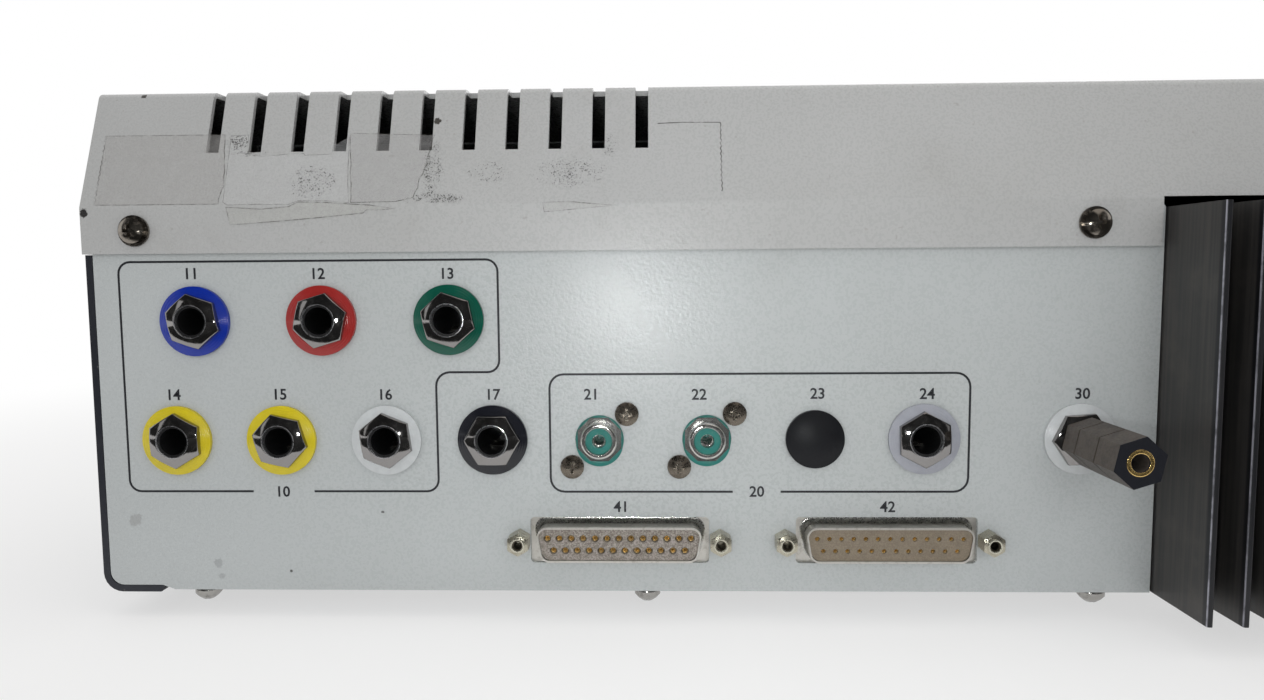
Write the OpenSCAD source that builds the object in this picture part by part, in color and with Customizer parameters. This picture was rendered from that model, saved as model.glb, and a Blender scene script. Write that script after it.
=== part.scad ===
// Desk-top two-channel audiometer: a sloping control desk with a connector rear.
// Frame: +Z up, front at -Y, rear at +Y, origin on the desk under the middle of the whole.
// On the rear, places are u (to the right from the panel's left edge, as one faces the rear)
// and v (up from the panel's bottom edge). On the control panel, they are x and s (up the slope).

/* [Case] */
// Width over both cheeks
case_w = 500; // [480:1:540]
// Depth from the front rail's face to the rear panel
case_d = 362; // [350:1:400]
// Height of the rear wall up to the cover's bend
rear_h = 90.8; // [88:0.1:96]
// Height of the top deck
deck_h = 118.6; // [112:0.1:130]
// Depth of the top deck, front to back
deck_len = 84; // [70:1:100]
// How far the cover's rear slope leans in
slope_run = 10.5; // [6:0.1:14]
// Height of the front rail's rear edge
front_h = 42; // [38:0.5:50]
// Depth of the front rail
rail_d = 26; // [22:0.5:32]
// Height of the feet
foot_h = 7; // [5:0.5:12]

/* [Sheet metal] */
// Thickness of the rear panels
panel_t = 1.0; // [0.8:0.1:1.5]
// Thickness of the top cover
cover_t = 1.2; // [0.8:0.1:1.6]
// Thickness of the cheeks
cheek_t = 1.6; // [1.2:0.1:2]
// Thickness of the base tray
tray_t = 1.2; // [1:0.1:1.6]
// Thickness of the control panel
desk_t = 1.5; // [1.2:0.1:2]
// Height of the cover's flange over the rear panels
flange_h = 10.7; // [9:0.1:12]
// Gap between sheets that meet
seam = 0.15; // [0.1:0.05:0.3]

/* [Rear connectors] */
// First jack of the upper row, to the right
upper_u = 23.9; // [20:0.1:30]
// Height of the upper jack row
upper_v = 64.4; // [62:0.1:67]
// Spacing of the upper jacks
upper_pitch = 29.8; // [26:0.1:32]
// First jack of the lower row, to the right
lower_u = 18.3; // [16:0.1:22]
// Height of the lower jack row
lower_v = 36.3; // [35:0.1:38.5]
// From the last jack of the lower row to the monitor jack
monitor_step = 35.35; // [30:0.05:40]
// From the monitor jack to the heat sink
monitor_inset = 17.7; // [14:0.1:24]
// Bore of a jack for a 6.35 mm plug
jack_bore = 6.4; // [6.4:0.02:6.6]
// Outside of a jack's bushing
bushing_d = 8.4; // [8:0.1:9]
// Diameter of the coloured washers
washer_d = 16.3; // [14:0.1:18]
// Thickness of the coloured washers
washer_t = 1.0; // [0.6:0.1:1.4]
// Width across the flats of a jack's nut
nut_af = 11.4; // [11:0.1:12.5]
// Height of a jack's nut
nut_h = 2.3; // [2:0.1:3]
// Depth of a jack's housing behind the panel
socket_depth = 29; // [28.5:0.5:34]
// Height of the two 25-way connectors
dsub_v = 12.3; // [11:0.1:14]
// Place of the first 25-way connector
dsub_u = 122.6; // [118:0.1:126]
// Distance between the two 25-way connectors
dsub_gap = 62.2; // [58:0.1:66]
// Spacing of the contacts in a row
pin_pitch = 2.77; // [2.7:0.01:2.8]

/* [Monitor adapter] */
// Width across the flats of the adapter
adapter_af = 9.6; // [9:0.1:10.5]
// How far the adapter's tip stands off the rear panel
adapter_reach = 27.3; // [25:0.1:32]
// Bore for a 3.5 mm plug
adapter_bore = 3.6; // [3.55:0.01:3.7]

/* [Heat sink and mains] */
// Left face of the heat sink
sink_u = 246; // [245:0.1:250]
// Spacing of the fins
fin_pitch = 7.5; // [6:0.05:8.5]
// Thickness of a fin at its tip
fin_t = 1.3; // [1:0.1:2]
// Thickness of a fin at its root
fin_root_t = 2; // [1.4:0.1:2.8]
// How far the fins stand off the rear panels
fin_depth = 21.5; // [18:0.5:26]
// Height of the heat sink
sink_h = 88.6; // [80:0.1:89]
// Width kept for the mains panel
mains_w = 134; // [130:0.5:145]
// From the right edge of the panels to the middle of the mains inlet
inlet_inset = 34.8; // [32:0.1:36]
// From the right edge of the panels to the middle of the mains switch
switch_inset = 88.8; // [80:0.1:95]

/* [Control panel] */
// Diameter of the attenuator dials
dial_d = 64; // [56:1:68]
// Height of the attenuator dials
dial_h = 16; // [12:0.5:20]
// Diameter of the level knobs
knob_d = 19; // [18:0.5:24]
// Width of the display window
window_w = 180; // [150:1:200]
// Depth of the display window, up the slope
window_s = 52; // [44:1:54]
// Spacing of the function keys
key_pitch = 34; // [30:0.5:36]
// Travel of a key
key_travel = 1.8; // [1:0.1:2.5]
// Diameter of the control shafts
shaft_d = 6; // [5:0.1:6.4]

/* [Hidden] */
$fn = 48;

// Where the case stands
rear_y = (case_d - adapter_reach) / 2;
front_y = rear_y - case_d;
slope_foot_y = front_y + rail_d;
deck_rear_y = rear_y + cover_t - slope_run;
deck_front_y = deck_rear_y - deck_len;
desk_rise = deck_h - front_h;
desk_run = deck_front_y - slope_foot_y;
desk_tilt = atan2(desk_rise, desk_run);
desk_len = desk_rise / sin(desk_tilt);
skirt_drop = flange_h / cos(desk_tilt);
flange_v = rear_h - flange_h;
knee_y = slope_foot_y + (flange_v - front_h + skirt_drop) / tan(desk_tilt);
beyond = 50;

// Rear layout
panel_w = case_w - 2 * cheek_t;
panel_edge_x = panel_w / 2;
fin_count = floor((panel_w - sink_u - mains_w - fin_root_t) / fin_pitch) + 1;
sink_w = (fin_count - 1) * fin_pitch + fin_root_t;
sink_v = 0.2;
sink_base_t = 5;
sink_lap = 5;
notch_left_u = sink_u - 1.4;
notch_right_u = sink_u + sink_w + 2.6;
notch_v = rear_h + 0.3;
panel_top_v = rear_h - 1.3;
cut_fit = 0.2;
screw_hole_d = 3.2;
foot_flange = 12.7;
bend_r = 3;
tab_depth = 12;

// Jacks: the plug holes of the upper row, then those of the lower row, then the monitor's
lower_places = 8;
monitor_u = sink_u - monitor_inset;
lower_pitch = (monitor_u - monitor_step - lower_u) / (lower_places - 1);
function upper(i) = [upper_u + i * upper_pitch, upper_v];
function lower(i) = [lower_u + i * lower_pitch, lower_v];
monitor_at = [monitor_u, lower_v];
jack_spots = [upper(0), upper(1), upper(2), lower(0), lower(1), lower(2), lower(3), lower(7), monitor_at];
phono_spots = [lower(4), lower(5)];
blank_at = lower(6);
blank_collar_d = 10;
// How far each nut happens to be turned, as tightened
nut_turns = [41, 17, 42, 31, 47, 38, 0, 32, 4];
bushing_fit = 0.1;
nut_front = washer_t + nut_h;
nut_lip_t = 0.8;
nut_hole_d = 7.3;
bushing_front = nut_front - nut_lip_t;
plug_depth = 30;
socket_side = 15.6;
board_t = 1.6;
board_back = panel_t + socket_depth;

// Phono sockets
phono_hole_d = 11.4;
phono_screw_at = [[6.4, 6.0], [-6.4, -6.4]];
phono_reach = 3.4;

// 25-way connectors
dsub_spots = [[dsub_u, dsub_v], [dsub_u + dsub_gap, dsub_v]];
dsub_half_w = 19.48;
dsub_h = 8.36;
dsub_wall = 0.5;
dsub_reach = 4.4;
dsub_flange_t = 0.8;
dsub_cut = [42, 11];
jackscrew_gap = 23.52;
jackscrew_af = 4.75;
jackscrew_h = 4.9;
pin_d = 1.0;
pin_reach = 3.06;

// Screws
cover_screw_v = 85.4;
cover_screw_inset = 11.1;
cover_screw_us = [cover_screw_inset, monitor_u + 1.3, panel_w - mains_w + 16, panel_w - cover_screw_inset];
base_screw_side = 21.5;
base_screw_us = [base_screw_side, 129, monitor_u + 6.1, panel_w - mains_w + 24, panel_w - base_screw_side];
base_screw_inset = 4.75;
base_screw_d = 3.5;
screw_gap = 0.1;

// Mains section
inlet_u = panel_w - inlet_inset;
inlet_v = 28;
inlet_body = [28, 20.4];
inlet_flange = [50, 24];
inlet_screw_gap = 20;
switch_u = panel_w - switch_inset;
switch_v = 28;
switch_body = [13.2, 20.2];
fuse_v = 62;
fuse_spots = [[inlet_u - 58, fuse_v], [inlet_u - 28, fuse_v]];
fuse_d = 12.5;
rocker_w = 11;
rocker_r = 8.4;
rocker_tilt = 10;
rocker_pivot = -2.4;
rocker_gap = 0.25;
pivot_d = 2.4;

// Control panel layout
key_fit = 0.3;
seat_gap = 0.05;
dial_at = [case_w / 2 - 72, 70];
knob_at = [case_w / 2 - 46, 198];
window_at = [0, 196];
tone_at = [case_w / 2 - 164, 36];
tone_size = [78, 18];
frequency_at = [22, 88];
frequency_size = [30, 16];
function_s = 130;
keys_per_channel = 4;
function_first_x = 52;
function_size = [25, 14];
key_cap_h = 4;
key_lip = 1.5;
key_lip_t = 1.2;
key_board_gap = 12.5;
switch_h = 5;
stud_outer_x = case_w / 2 - 22;
stud_inner_x = 120;
stud_s = [16, 148];
stud_spots = [for (x = [-stud_outer_x, -stud_inner_x, stud_inner_x, stud_outer_x], s = stud_s) [x, s]];
bushing_control_d = 9;
control_nut_h = 2;
control_nut_af = 11;
control_reach = 4;
rotary_side = 16;
rotary_h = 10;
rotary_floor = 1;
shaft_fit = 0.05;
shaft_bottom = -desk_t - rotary_h + rotary_floor + 0.5;
knob_gap = 0.8;
recess_h = control_reach + 0.8;

// Inside
standoff_h = 8;
tray_top = panel_t + tray_t;
core_size = [75, 45, 62];
core_leg_w = 25;
core_window = [12.5, 38];
core_foot_t = 1.5;
coil_wall = 12;
transformer_inset = 60;
transformer_gap = 50;
transformer_at = [transformer_inset - case_w / 2, rear_y - board_back - transformer_gap];
main_board_inset = 100;
main_board_gap = 40;
main_board_front = slope_foot_y + main_board_gap;
main_board_rear = transformer_at[1] - core_size[1] / 2 - coil_wall - 3;
main_board_size = [case_w - 2 * main_board_inset, main_board_rear - main_board_front];
main_board_y = (main_board_front + main_board_rear) / 2;
board_edge = 8;
chip = [36, 14, 4];
chip_pitch = [50, 44];
capacitor_d = 10;
capacitor_h = 12;

// ---------------------------------------------------------------- helpers

// Places its children on the rear panel's outer face, facing out
module on_rear(p) {
    translate([panel_edge_x - p[0], rear_y, foot_h + p[1]])
        rotate([90, 0, 180])
            children();
}

// Places its children on the control panel's outer face, facing out
module on_desk(p) {
    translate([p[0], slope_foot_y, foot_h + front_h])
        rotate([desk_tilt, 0, 0])
            translate([0, p[1], 0])
                children();
}

// Extrudes a side view (y to the right, z up from the case's underside) across the case
module across(width, x = 0) {
    translate([x - width / 2, 0, foot_h])
        rotate([90, 0, 90])
            linear_extrude(width)
                children();
}

// Points of a polygon whose corners are turned into arcs: each corner is [x, y, radius]
function unit(a, b) = (b - a) / norm(b - a);
function corner(before, at, after, r) =
    let (
        p = [at[0], at[1]],
        to_before = unit(p, [before[0], before[1]]),
        to_after = unit(p, [after[0], after[1]]),
        half = acos(to_before * to_after) / 2,
        centre = p + unit([0, 0], to_before + to_after) * r / sin(half),
        first = p + to_before * r / tan(half) - centre,
        last = p + to_after * r / tan(half) - centre,
        start = atan2(first[1], first[0]),
        raw = atan2(last[1], last[0]) - start,
        sweep = raw > 180 ? raw - 360 : (raw < -180 ? raw + 360 : raw)
    )
    r == 0 ? [p] : [for (i = [0 : 6]) centre + r * [cos(start + sweep * i / 6), sin(start + sweep * i / 6)]];
function rounded(c) =
    let (n = len(c))
    [for (i = [0 : n - 1]) each corner(c[(i + n - 1) % n], c[i], c[(i + 1) % n], c[i][2])];

// A rectangle with round corners, centred
module rounded_rect(w, h, r) {
    square([w - 2 * r, h], center = true);
    square([w, h - 2 * r], center = true);
    for (x = [-1, 1], y = [-1, 1])
        translate([x * (w / 2 - r), y * (h / 2 - r)])
            circle(r);
}

// A pan head with a cross recess, its seat at z = 0, and its shank below
module pan_screw(head_d, head_h, shank_d, shank_l) {
    recess = head_d * 0.52;
    slot = head_d * 0.14;
    dome_r = head_d * 0.8;
    difference() {
        intersection() {
            cylinder(h = head_h, d = head_d);
            translate([0, 0, head_h - dome_r]) sphere(dome_r);
        }
        for (turn = [0, 90])
            rotate([0, 0, turn])
                translate([-recess / 2, -slot / 2, head_h * 0.4])
                    cube([recess, slot, head_h]);
    }
    translate([0, 0, -shank_l]) cylinder(h = shank_l, d = shank_d);
}

module hexagon(af, h) {
    cylinder(h = h, d = af / cos(30), $fn = 6);
}

module ring(outer_d, inner_d, h) {
    difference() {
        cylinder(h = h, d = outer_d);
        translate([0, 0, -1]) cylinder(h = h + 2, d = inner_d);
    }
}

// ---------------------------------------------------------------- case outlines

// The folded sheets from the side, inset by a wall, with every fold's corner worked out
module case_side(inset) {
    lean = atan2(slope_run, deck_h - rear_h);
    fold_r = 2.2 - inset;
    polygon(rounded([
        [slope_foot_y + inset, 0, 0],
        [slope_foot_y + inset, front_h - inset / cos(desk_tilt) + inset * tan(desk_tilt), 0],
        [deck_front_y + inset * tan(desk_tilt / 2), deck_h - inset, fold_r],
        [deck_rear_y - inset * tan(45 - lean / 2), deck_h - inset, fold_r],
        [rear_y + cover_t - inset, rear_h - inset * tan(lean / 2), fold_r],
        [rear_y + cover_t - inset, 0, 0]
    ]));
}

// Cuts away, across the whole width, what would stand above the skirts' lower edges
module trim_to_skirts(gap) {
    across(case_w + 2)
        difference() {
            translate([front_y - beyond, -beyond]) square([case_d + 2 * beyond, deck_h + 2 * beyond]);
            polygon([
                [slope_foot_y, -beyond],
                [slope_foot_y, front_h - skirt_drop - gap],
                [knee_y, flange_v - gap],
                [rear_y, flange_v - gap],
                [rear_y, -beyond]
            ]);
        }
}

// Everything under the skirts of the cover and the control panel
module under_skirts() {
    polygon([
        [slope_foot_y - beyond, -beyond],
        [slope_foot_y - beyond, front_h - skirt_drop - beyond * tan(desk_tilt)],
        [knee_y, flange_v],
        [rear_y + beyond, flange_v],
        [rear_y + beyond, -beyond]
    ]);
}

// ---------------------------------------------------------------- case

module base_tray() color("silver") {
    wall_x = panel_edge_x - seam;
    y0 = slope_foot_y + seam;
    y1 = rear_y - panel_t - seam;
    difference() {
        translate([0, y1, foot_h])
            rotate([90, 0, 0])
                linear_extrude(y1 - y0)
                    polygon(rounded([
                        [-wall_x, flange_v, 0],
                        [-wall_x, panel_t, bend_r + 0.3],
                        [wall_x, panel_t, bend_r + 0.3],
                        [wall_x, flange_v, 0],
                        [wall_x - tray_t, flange_v, 0],
                        [wall_x - tray_t, tray_top, bend_r - 0.9],
                        [-wall_x + tray_t, tray_top, bend_r - 0.9],
                        [-wall_x + tray_t, flange_v, 0]
                    ]));
        trim_to_skirts(1.5);
        // clear of the heat sink's base
        on_rear([0, 0])
            translate([sink_u - sink_lap - seam, -1, -panel_t - sink_base_t - seam])
                cube([sink_w + 2 * (sink_lap + seam), tray_top + 2, tab_depth]);
        base_screw_holes(tray_top);
    }
    for (x = [-1, 1], y = [-1, 1])
        translate([x * (main_board_size[0] / 2 - 6),
                   main_board_y + y * (main_board_size[1] / 2 - 6), foot_h + tray_top])
            cylinder(h = standoff_h, d = 7);
}

module base_screw_places() {
    for (u = base_screw_us)
        translate([panel_edge_x - u, rear_y - base_screw_inset, foot_h]) children();
    for (x = [-case_w * 0.36, 0, case_w * 0.36])
        translate([x, slope_foot_y + base_screw_inset + 2, foot_h]) children();
}

module cheek_screw_places() {
    for (x = [-1, 1], y = [deck_front_y, slope_foot_y + 60])
        translate([x * (panel_edge_x - foot_flange / 2), y, foot_h]) children();
}

module base_screw_holes(top) {
    base_screw_places()
        translate([0, 0, -2]) cylinder(h = top + 3, d = base_screw_d + 2 * screw_gap);
    cheek_screw_places()
        translate([0, 0, -4]) cylinder(h = top + 5, d = base_screw_d + 2 * screw_gap);
}

// The outline of a rear panel between two places, with the corner over a cheek's flange cut back
module rear_blank(u0, u1, over_left, over_right) {
    step_v = panel_t + 0.1;
    left = over_left
        ? [[foot_flange + 3, 0, 1], [foot_flange, step_v, 1], [u0, step_v, bend_r + 0.2]]
        : [[u0, 0, 0]];
    right = over_right
        ? [[u1, step_v, bend_r + 0.2], [panel_w - foot_flange, step_v, 1], [panel_w - foot_flange - 3, 0, 1]]
        : [[u1, 0, 0]];
    polygon(rounded(concat(left, [[u0, panel_top_v, 1], [u1, panel_top_v, 1]], right)));
}

// The tab that turns under the base tray
module bottom_tab(u0, u1) {
    translate([0, 0, -tab_depth])
        linear_extrude(tab_depth)
            translate([u0, 0]) square([u1 - u0, panel_t]);
}

module connector_panel() color("gainsboro") {
    edge_u = sink_u - 0.3;
    difference() {
        on_rear([0, 0]) {
            translate([0, 0, -panel_t])
                linear_extrude(panel_t)
                    difference() {
                        rear_blank(seam, edge_u, true, false);
                        for (p = jack_spots)
                            translate(p) circle(d = bushing_d + 2 * bushing_fit);
                        for (p = phono_spots)
                            translate(p) {
                                circle(d = phono_hole_d);
                                for (q = phono_screw_at) translate(q) circle(d = screw_hole_d);
                            }
                        translate(blank_at) circle(d = blank_collar_d + cut_fit);
                        for (p = dsub_spots)
                            translate(p) {
                                rounded_rect(dsub_cut[0], dsub_cut[1], 1);
                                for (x = [-1, 1])
                                    translate([x * jackscrew_gap, 0]) circle(d = screw_hole_d);
                            }
                        for (i = [0, 1])
                            translate([cover_screw_us[i], cover_screw_v]) circle(d = screw_hole_d);
                    }
            bottom_tab(foot_flange + 4, sink_u - sink_lap - seam);
        }
        base_screw_holes(panel_t);
    }
}

module mains_panel() color("gainsboro") {
    edge_u = sink_u + sink_w + 0.3;
    difference() {
        on_rear([0, 0]) {
            translate([0, 0, -panel_t])
                linear_extrude(panel_t)
                    difference() {
                        rear_blank(edge_u, panel_w - seam, false, true);
                        translate([inlet_u, inlet_v]) {
                            square(inlet_body + [2, 2] * cut_fit, center = true);
                            for (x = [-1, 1])
                                translate([x * inlet_screw_gap, 0]) circle(d = screw_hole_d);
                        }
                        translate([switch_u, switch_v])
                            square(switch_body + [1, 1] * cut_fit, center = true);
                        for (p = fuse_spots) translate(p) circle(d = fuse_d + cut_fit);
                        for (i = [2, 3])
                            translate([cover_screw_us[i], cover_screw_v]) circle(d = screw_hole_d);
                    }
            bottom_tab(sink_u + sink_w + sink_lap + seam, panel_w - foot_flange - 4);
        }
        base_screw_holes(panel_t);
    }
}

// Folded cover: rear flange, leaning back, top deck and side skirts
module top_cover() color("whitesmoke") {
    slot_w = 3.0;
    slot_pitch = 10.05;
    slot_first_u = 27.8;
    slot_count = 11;
    slot_v = 103.6;
    slot_reach = 4.5;
    difference() {
        across(case_w) case_side(0);
        across(case_w - 2 * cover_t) case_side(cover_t);
        across(case_w + 2) under_skirts();
        // the open front, with a lip left along the deck
        translate([-case_w, front_y - beyond, 0])
            cube([2 * case_w, deck_front_y + seam - front_y + beyond, 300]);
        on_rear([0, 0]) {
            // clear of the heat sink
            translate([notch_left_u, flange_v - 1, -30])
                cube([notch_right_u - notch_left_u, notch_v - flange_v + 1, 60]);
            for (i = [0 : slot_count - 1])
                translate([slot_first_u + i * slot_pitch - slot_w / 2, slot_v, -slope_run - slot_reach])
                    cube([slot_w, deck_h, slope_run + slot_reach + 10]);
            for (u = cover_screw_us)
                translate([u, cover_screw_v, -panel_t])
                    cylinder(h = 5, d = 4);
        }
    }
}

// One cheek: an upright sheet whose foot turns in under the tray
module cheek(side) {
    y0 = slope_foot_y + seam;
    flange_low = panel_t - cheek_t;
    difference() {
        scale([side, 1, 1])
            translate([0, rear_y, foot_h])
                rotate([90, 0, 0])
                    linear_extrude(rear_y - y0)
                        polygon(rounded([
                            [case_w / 2, flange_v, 0],
                            [case_w / 2, flange_low, bend_r + cheek_t],
                            [panel_edge_x - foot_flange, flange_low, 0.6],
                            [panel_edge_x - foot_flange, panel_t, 0],
                            [panel_edge_x, panel_t, bend_r],
                            [panel_edge_x, flange_v, 0]
                        ]));
        trim_to_skirts(seam);
        base_screw_holes(panel_t);
    }
}

module left_cheek() color("midnightblue") cheek(-1);
module right_cheek() color("midnightblue") cheek(1);

// Rounded front moulding with a tongue under the tray
module front_rail() color("midnightblue") {
    wall = 3;
    top_front = front_h - rail_d * tan(desk_tilt);
    difference() {
        across(case_w)
            polygon(rounded([
                [front_y, 0, 4],
                [front_y, top_front, 9],
                [slope_foot_y, front_h, 0],
                [slope_foot_y, 0, 0]
            ]));
        across(case_w - 2 * wall)
            polygon(rounded([
                [front_y + wall, wall, 2],
                [front_y + wall, top_front - wall, 6],
                [slope_foot_y + 1, front_h - wall, 0],
                [slope_foot_y + 1, wall, 0]
            ]));
    }
    difference() {
        translate([-panel_edge_x + foot_flange + 4, slope_foot_y - 1, foot_h])
            cube([panel_w - 2 * foot_flange - 8, 15, panel_t]);
        base_screw_holes(panel_t);
    }
}

// Sloping top sheet with its side skirts, key cut-outs and welded studs
module control_panel() color("gainsboro") {
    difference() {
        across(case_w) case_side(0);
        across(case_w - 2 * cover_t) under_sheet();
        across(case_w + 2) under_skirts();
        translate([-case_w, deck_front_y - seam, 0]) cube([2 * case_w, case_d, 300]);
        translate([-case_w, front_y - beyond, 0])
            cube([2 * case_w, slope_foot_y + seam - front_y + beyond, 300]);
        on_desk([0, 0]) {
            for (side = [-1, 1]) {
                for (p = [dial_at, knob_at])
                    translate([side * p[0], p[1], -10])
                        cylinder(h = 20, d = bushing_control_d + 0.2);
                cut_out([side * tone_at[0], tone_at[1]], tone_size);
                cut_out([side * frequency_at[0], frequency_at[1]], frequency_size);
                for (i = [0 : keys_per_channel - 1])
                    cut_out([side * (function_first_x + i * key_pitch), function_s], function_size);
            }
            translate([window_at[0], window_at[1], -5])
                linear_extrude(10)
                    rounded_rect(window_w + 2 * seam, window_s + 2 * seam, 3);
        }
    }
    on_desk([0, 0])
        for (p = stud_spots)
            translate([p[0], p[1], -desk_t - key_board_gap])
                cylinder(h = key_board_gap + 0.5, d = 5);
}

// Everything under the sloping sheet, past both of its ends
module under_sheet() {
    drop = desk_t / cos(desk_tilt);
    polygon([
        [slope_foot_y - beyond, -beyond],
        [slope_foot_y - beyond, front_h - drop - beyond * tan(desk_tilt)],
        [deck_front_y + beyond, deck_h - drop + beyond * tan(desk_tilt)],
        [deck_front_y + beyond, -beyond]
    ]);
}

module cut_out(p, size) {
    translate([p[0], p[1], -5])
        linear_extrude(10)
            rounded_rect(size[0] + 2 * key_fit, size[1] + 2 * key_fit, 1.5);
}

module rubber_feet() color("dimgray") {
    inset_x = 40;
    inset_y = 35;
    for (x = [-1, 1], y = [slope_foot_y + inset_y, rear_y - inset_y])
        translate([x * (case_w / 2 - inset_x), y, 0])
            rotate_extrude()
                polygon([
                    [0, 0], [9.5, 0], [10.5, 1], [11, foot_h + panel_t], [0, foot_h + panel_t]
                ]);
}

module cover_screws() color("lightgray") {
    for (u = cover_screw_us)
        on_rear([u, cover_screw_v])
            translate([0, 0, cover_t]) {
                cylinder(h = 0.6, d = 7.2);
                translate([0, 0, 0.6]) pan_screw(5.8, 2.1, 3, 6);
            }
}

module base_screws() color("lightgray") {
    base_screw_places()
        rotate([180, 0, 0]) pan_screw(6.2, 2.2, base_screw_d, tray_top + 2.5);
    cheek_screw_places()
        translate([0, 0, panel_t - cheek_t])
            rotate([180, 0, 0]) pan_screw(6.2, 2.2, base_screw_d, tray_top + cheek_t + 1);
}

// ---------------------------------------------------------------- jacks

module jack_washer(p) {
    on_rear(p) ring(washer_d, bushing_d + 2 * bushing_fit, washer_t);
}

module blue_washer() color("mediumblue") jack_washer(upper(0));
module red_washer() color("firebrick") jack_washer(upper(1));
module green_washer() color("seagreen") jack_washer(upper(2));
module yellow_washers() color("gold") {
    jack_washer(lower(0));
    jack_washer(lower(1));
}
module clear_washers() color("white") {
    jack_washer(lower(2));
    jack_washer(monitor_at);
}
module black_washer() color("black") jack_washer(lower(3));
module grey_washer() color("gray") jack_washer(lower(7));

// Crowned hexagon nut, closed at the front to a lip over the bushing
module jack_nut() {
    crown_r = 20;
    difference() {
        intersection() {
            hexagon(nut_af, nut_h);
            translate([0, 0, nut_h + 0.25 - crown_r]) sphere(crown_r, $fn = 96);
        }
        translate([0, 0, -1]) cylinder(h = nut_h + 3, d = nut_hole_d);
        translate([0, 0, -1]) cylinder(h = nut_h + 1 - nut_lip_t, d = bushing_d + 2 * shaft_fit);
    }
}

module jack_nuts() color("silver") {
    for (i = [0 : len(jack_spots) - 1])
        on_rear(jack_spots[i])
            translate([0, 0, washer_t])
                rotate([0, 0, nut_turns[i]])
                    jack_nut();
}

// A moulded housing behind the panel, with the threaded bushing that the nut screws on
module jack_sockets() color("dimgray") {
    for (p = jack_spots)
        on_rear(p)
            difference() {
                translate([0, 0, -board_back]) {
                    linear_extrude(socket_depth)
                        square([socket_side, socket_side], center = true);
                    cylinder(h = board_back + bushing_front, d = bushing_d);
                }
                translate([0, 0, bushing_front - plug_depth])
                    cylinder(h = plug_depth + 1, d = jack_bore);
            }
}

// Hexagon body with two grooves, a hollow socket in its end and a plug in the monitor jack
module monitor_adapter() color("darkslategray") {
    body_h = adapter_reach - nut_front - seam;
    plug_d = 6.35;
    groove = 0.5;
    on_rear(monitor_at)
        difference() {
            union() {
                translate([0, 0, nut_front + seam])
                    rotate([0, 0, 18])
                        difference() {
                            hexagon(adapter_af, body_h);
                            for (part = [0.24, 0.62])
                                translate([0, 0, body_h * part])
                                    ring(adapter_af * 2, adapter_af - 2 * groove, groove);
                        }
                translate([0, 0, bushing_front - plug_depth + 2])
                    rotate_extrude()
                        polygon([
                            [0, 0], [1.6, 0.8], [2.9, 3.2], [2.1, 5], [plug_d / 2, 6.2],
                            [plug_d / 2, plug_depth], [0, plug_depth]
                        ]);
            }
            translate([0, 0, adapter_reach - 15]) cylinder(h = 16, d = adapter_bore);
        }
}

module microphone_blank() color("black") {
    cap_d = 13.5;
    on_rear(blank_at) {
        intersection() {
            cylinder(h = 4, d = cap_d);
            translate([0, 0, 2.7 - 14]) sphere(14, $fn = 96);
        }
        translate([0, 0, -panel_t - 2.5]) ring(blank_collar_d, 7.5, panel_t + 2.6);
    }
}

// ---------------------------------------------------------------- phono sockets

// Green moulding: a flange behind the panel, a collar in its hole and the core in the barrel
module phono_insulators() color("teal") {
    flange_t = 3;
    for (p = phono_spots)
        on_rear(p)
            difference() {
                union() {
                    translate([0, 0, -panel_t - flange_t])
                        linear_extrude(flange_t) {
                            circle(d = 16);
                            for (q = phono_screw_at) translate(q) circle(r = 3.6);
                            rotate([0, 0, 44]) square([17.8, 7.2], center = true);
                        }
                    translate([0, 0, -panel_t - 0.1]) cylinder(h = panel_t, d = phono_hole_d - 0.2);
                    translate([0, 0, -board_back])
                        cylinder(h = board_back + phono_reach - 0.5, d = 6);
                }
                translate([0, 0, -8]) cylinder(h = 20, d = 3.2);
                translate([0, 0, -panel_t - 2]) ring(8.7, 6.1, 10);
                for (q = phono_screw_at)
                    translate([q[0], q[1], -10]) cylinder(h = 12, d = 2.7);
            }
}

// Plated barrel with a rolled rim on an eight-sided plate
module phono_shells() color("silver") {
    plate_t = 0.5;
    barrel_d = 8.5;
    for (p = phono_spots)
        on_rear(p) {
            difference() {
                translate([0, 0, -0.1])
                    rotate([0, 0, 22.5]) cylinder(h = plate_t, d = 10.2 / cos(22.5), $fn = 8);
                translate([0, 0, -1]) cylinder(h = 3, d = barrel_d - 0.1);
            }
            translate([0, 0, -panel_t - 1.9])
                rotate_extrude()
                    polygon(rounded([
                        [3.05, 0, 0],
                        [barrel_d / 2, 0, 0],
                        [barrel_d / 2, panel_t + 1.9 + phono_reach, 0.7],
                        [3.15, panel_t + 1.9 + phono_reach, 0.25],
                        [3.05, panel_t + 1.4 + phono_reach, 0]
                    ]));
        }
}

module phono_screws() color("silver") {
    for (p = phono_spots, q = phono_screw_at)
        on_rear(p + q) pan_screw(5.5, 1.9, 2.6, 5);
    for (x = [-1, 1])
        on_rear([inlet_u + x * inlet_screw_gap, inlet_v])
            translate([0, 0, 2.5]) pan_screw(5, 1.6, 2.6, 7);
}

// ---------------------------------------------------------------- 25-way connectors

// The keystone outline of the connector's mouth, grown by some amount
module dsub_outline(grow) {
    half_h = dsub_h / 2 + grow;
    top = dsub_half_w + grow;
    bottom = top - 2 * half_h * tan(10);
    polygon(rounded([
        [-bottom, -half_h, 2.4 + grow], [bottom, -half_h, 2.4 + grow],
        [top, half_h, 2.4 + grow], [-top, half_h, 2.4 + grow]
    ]));
}

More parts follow.
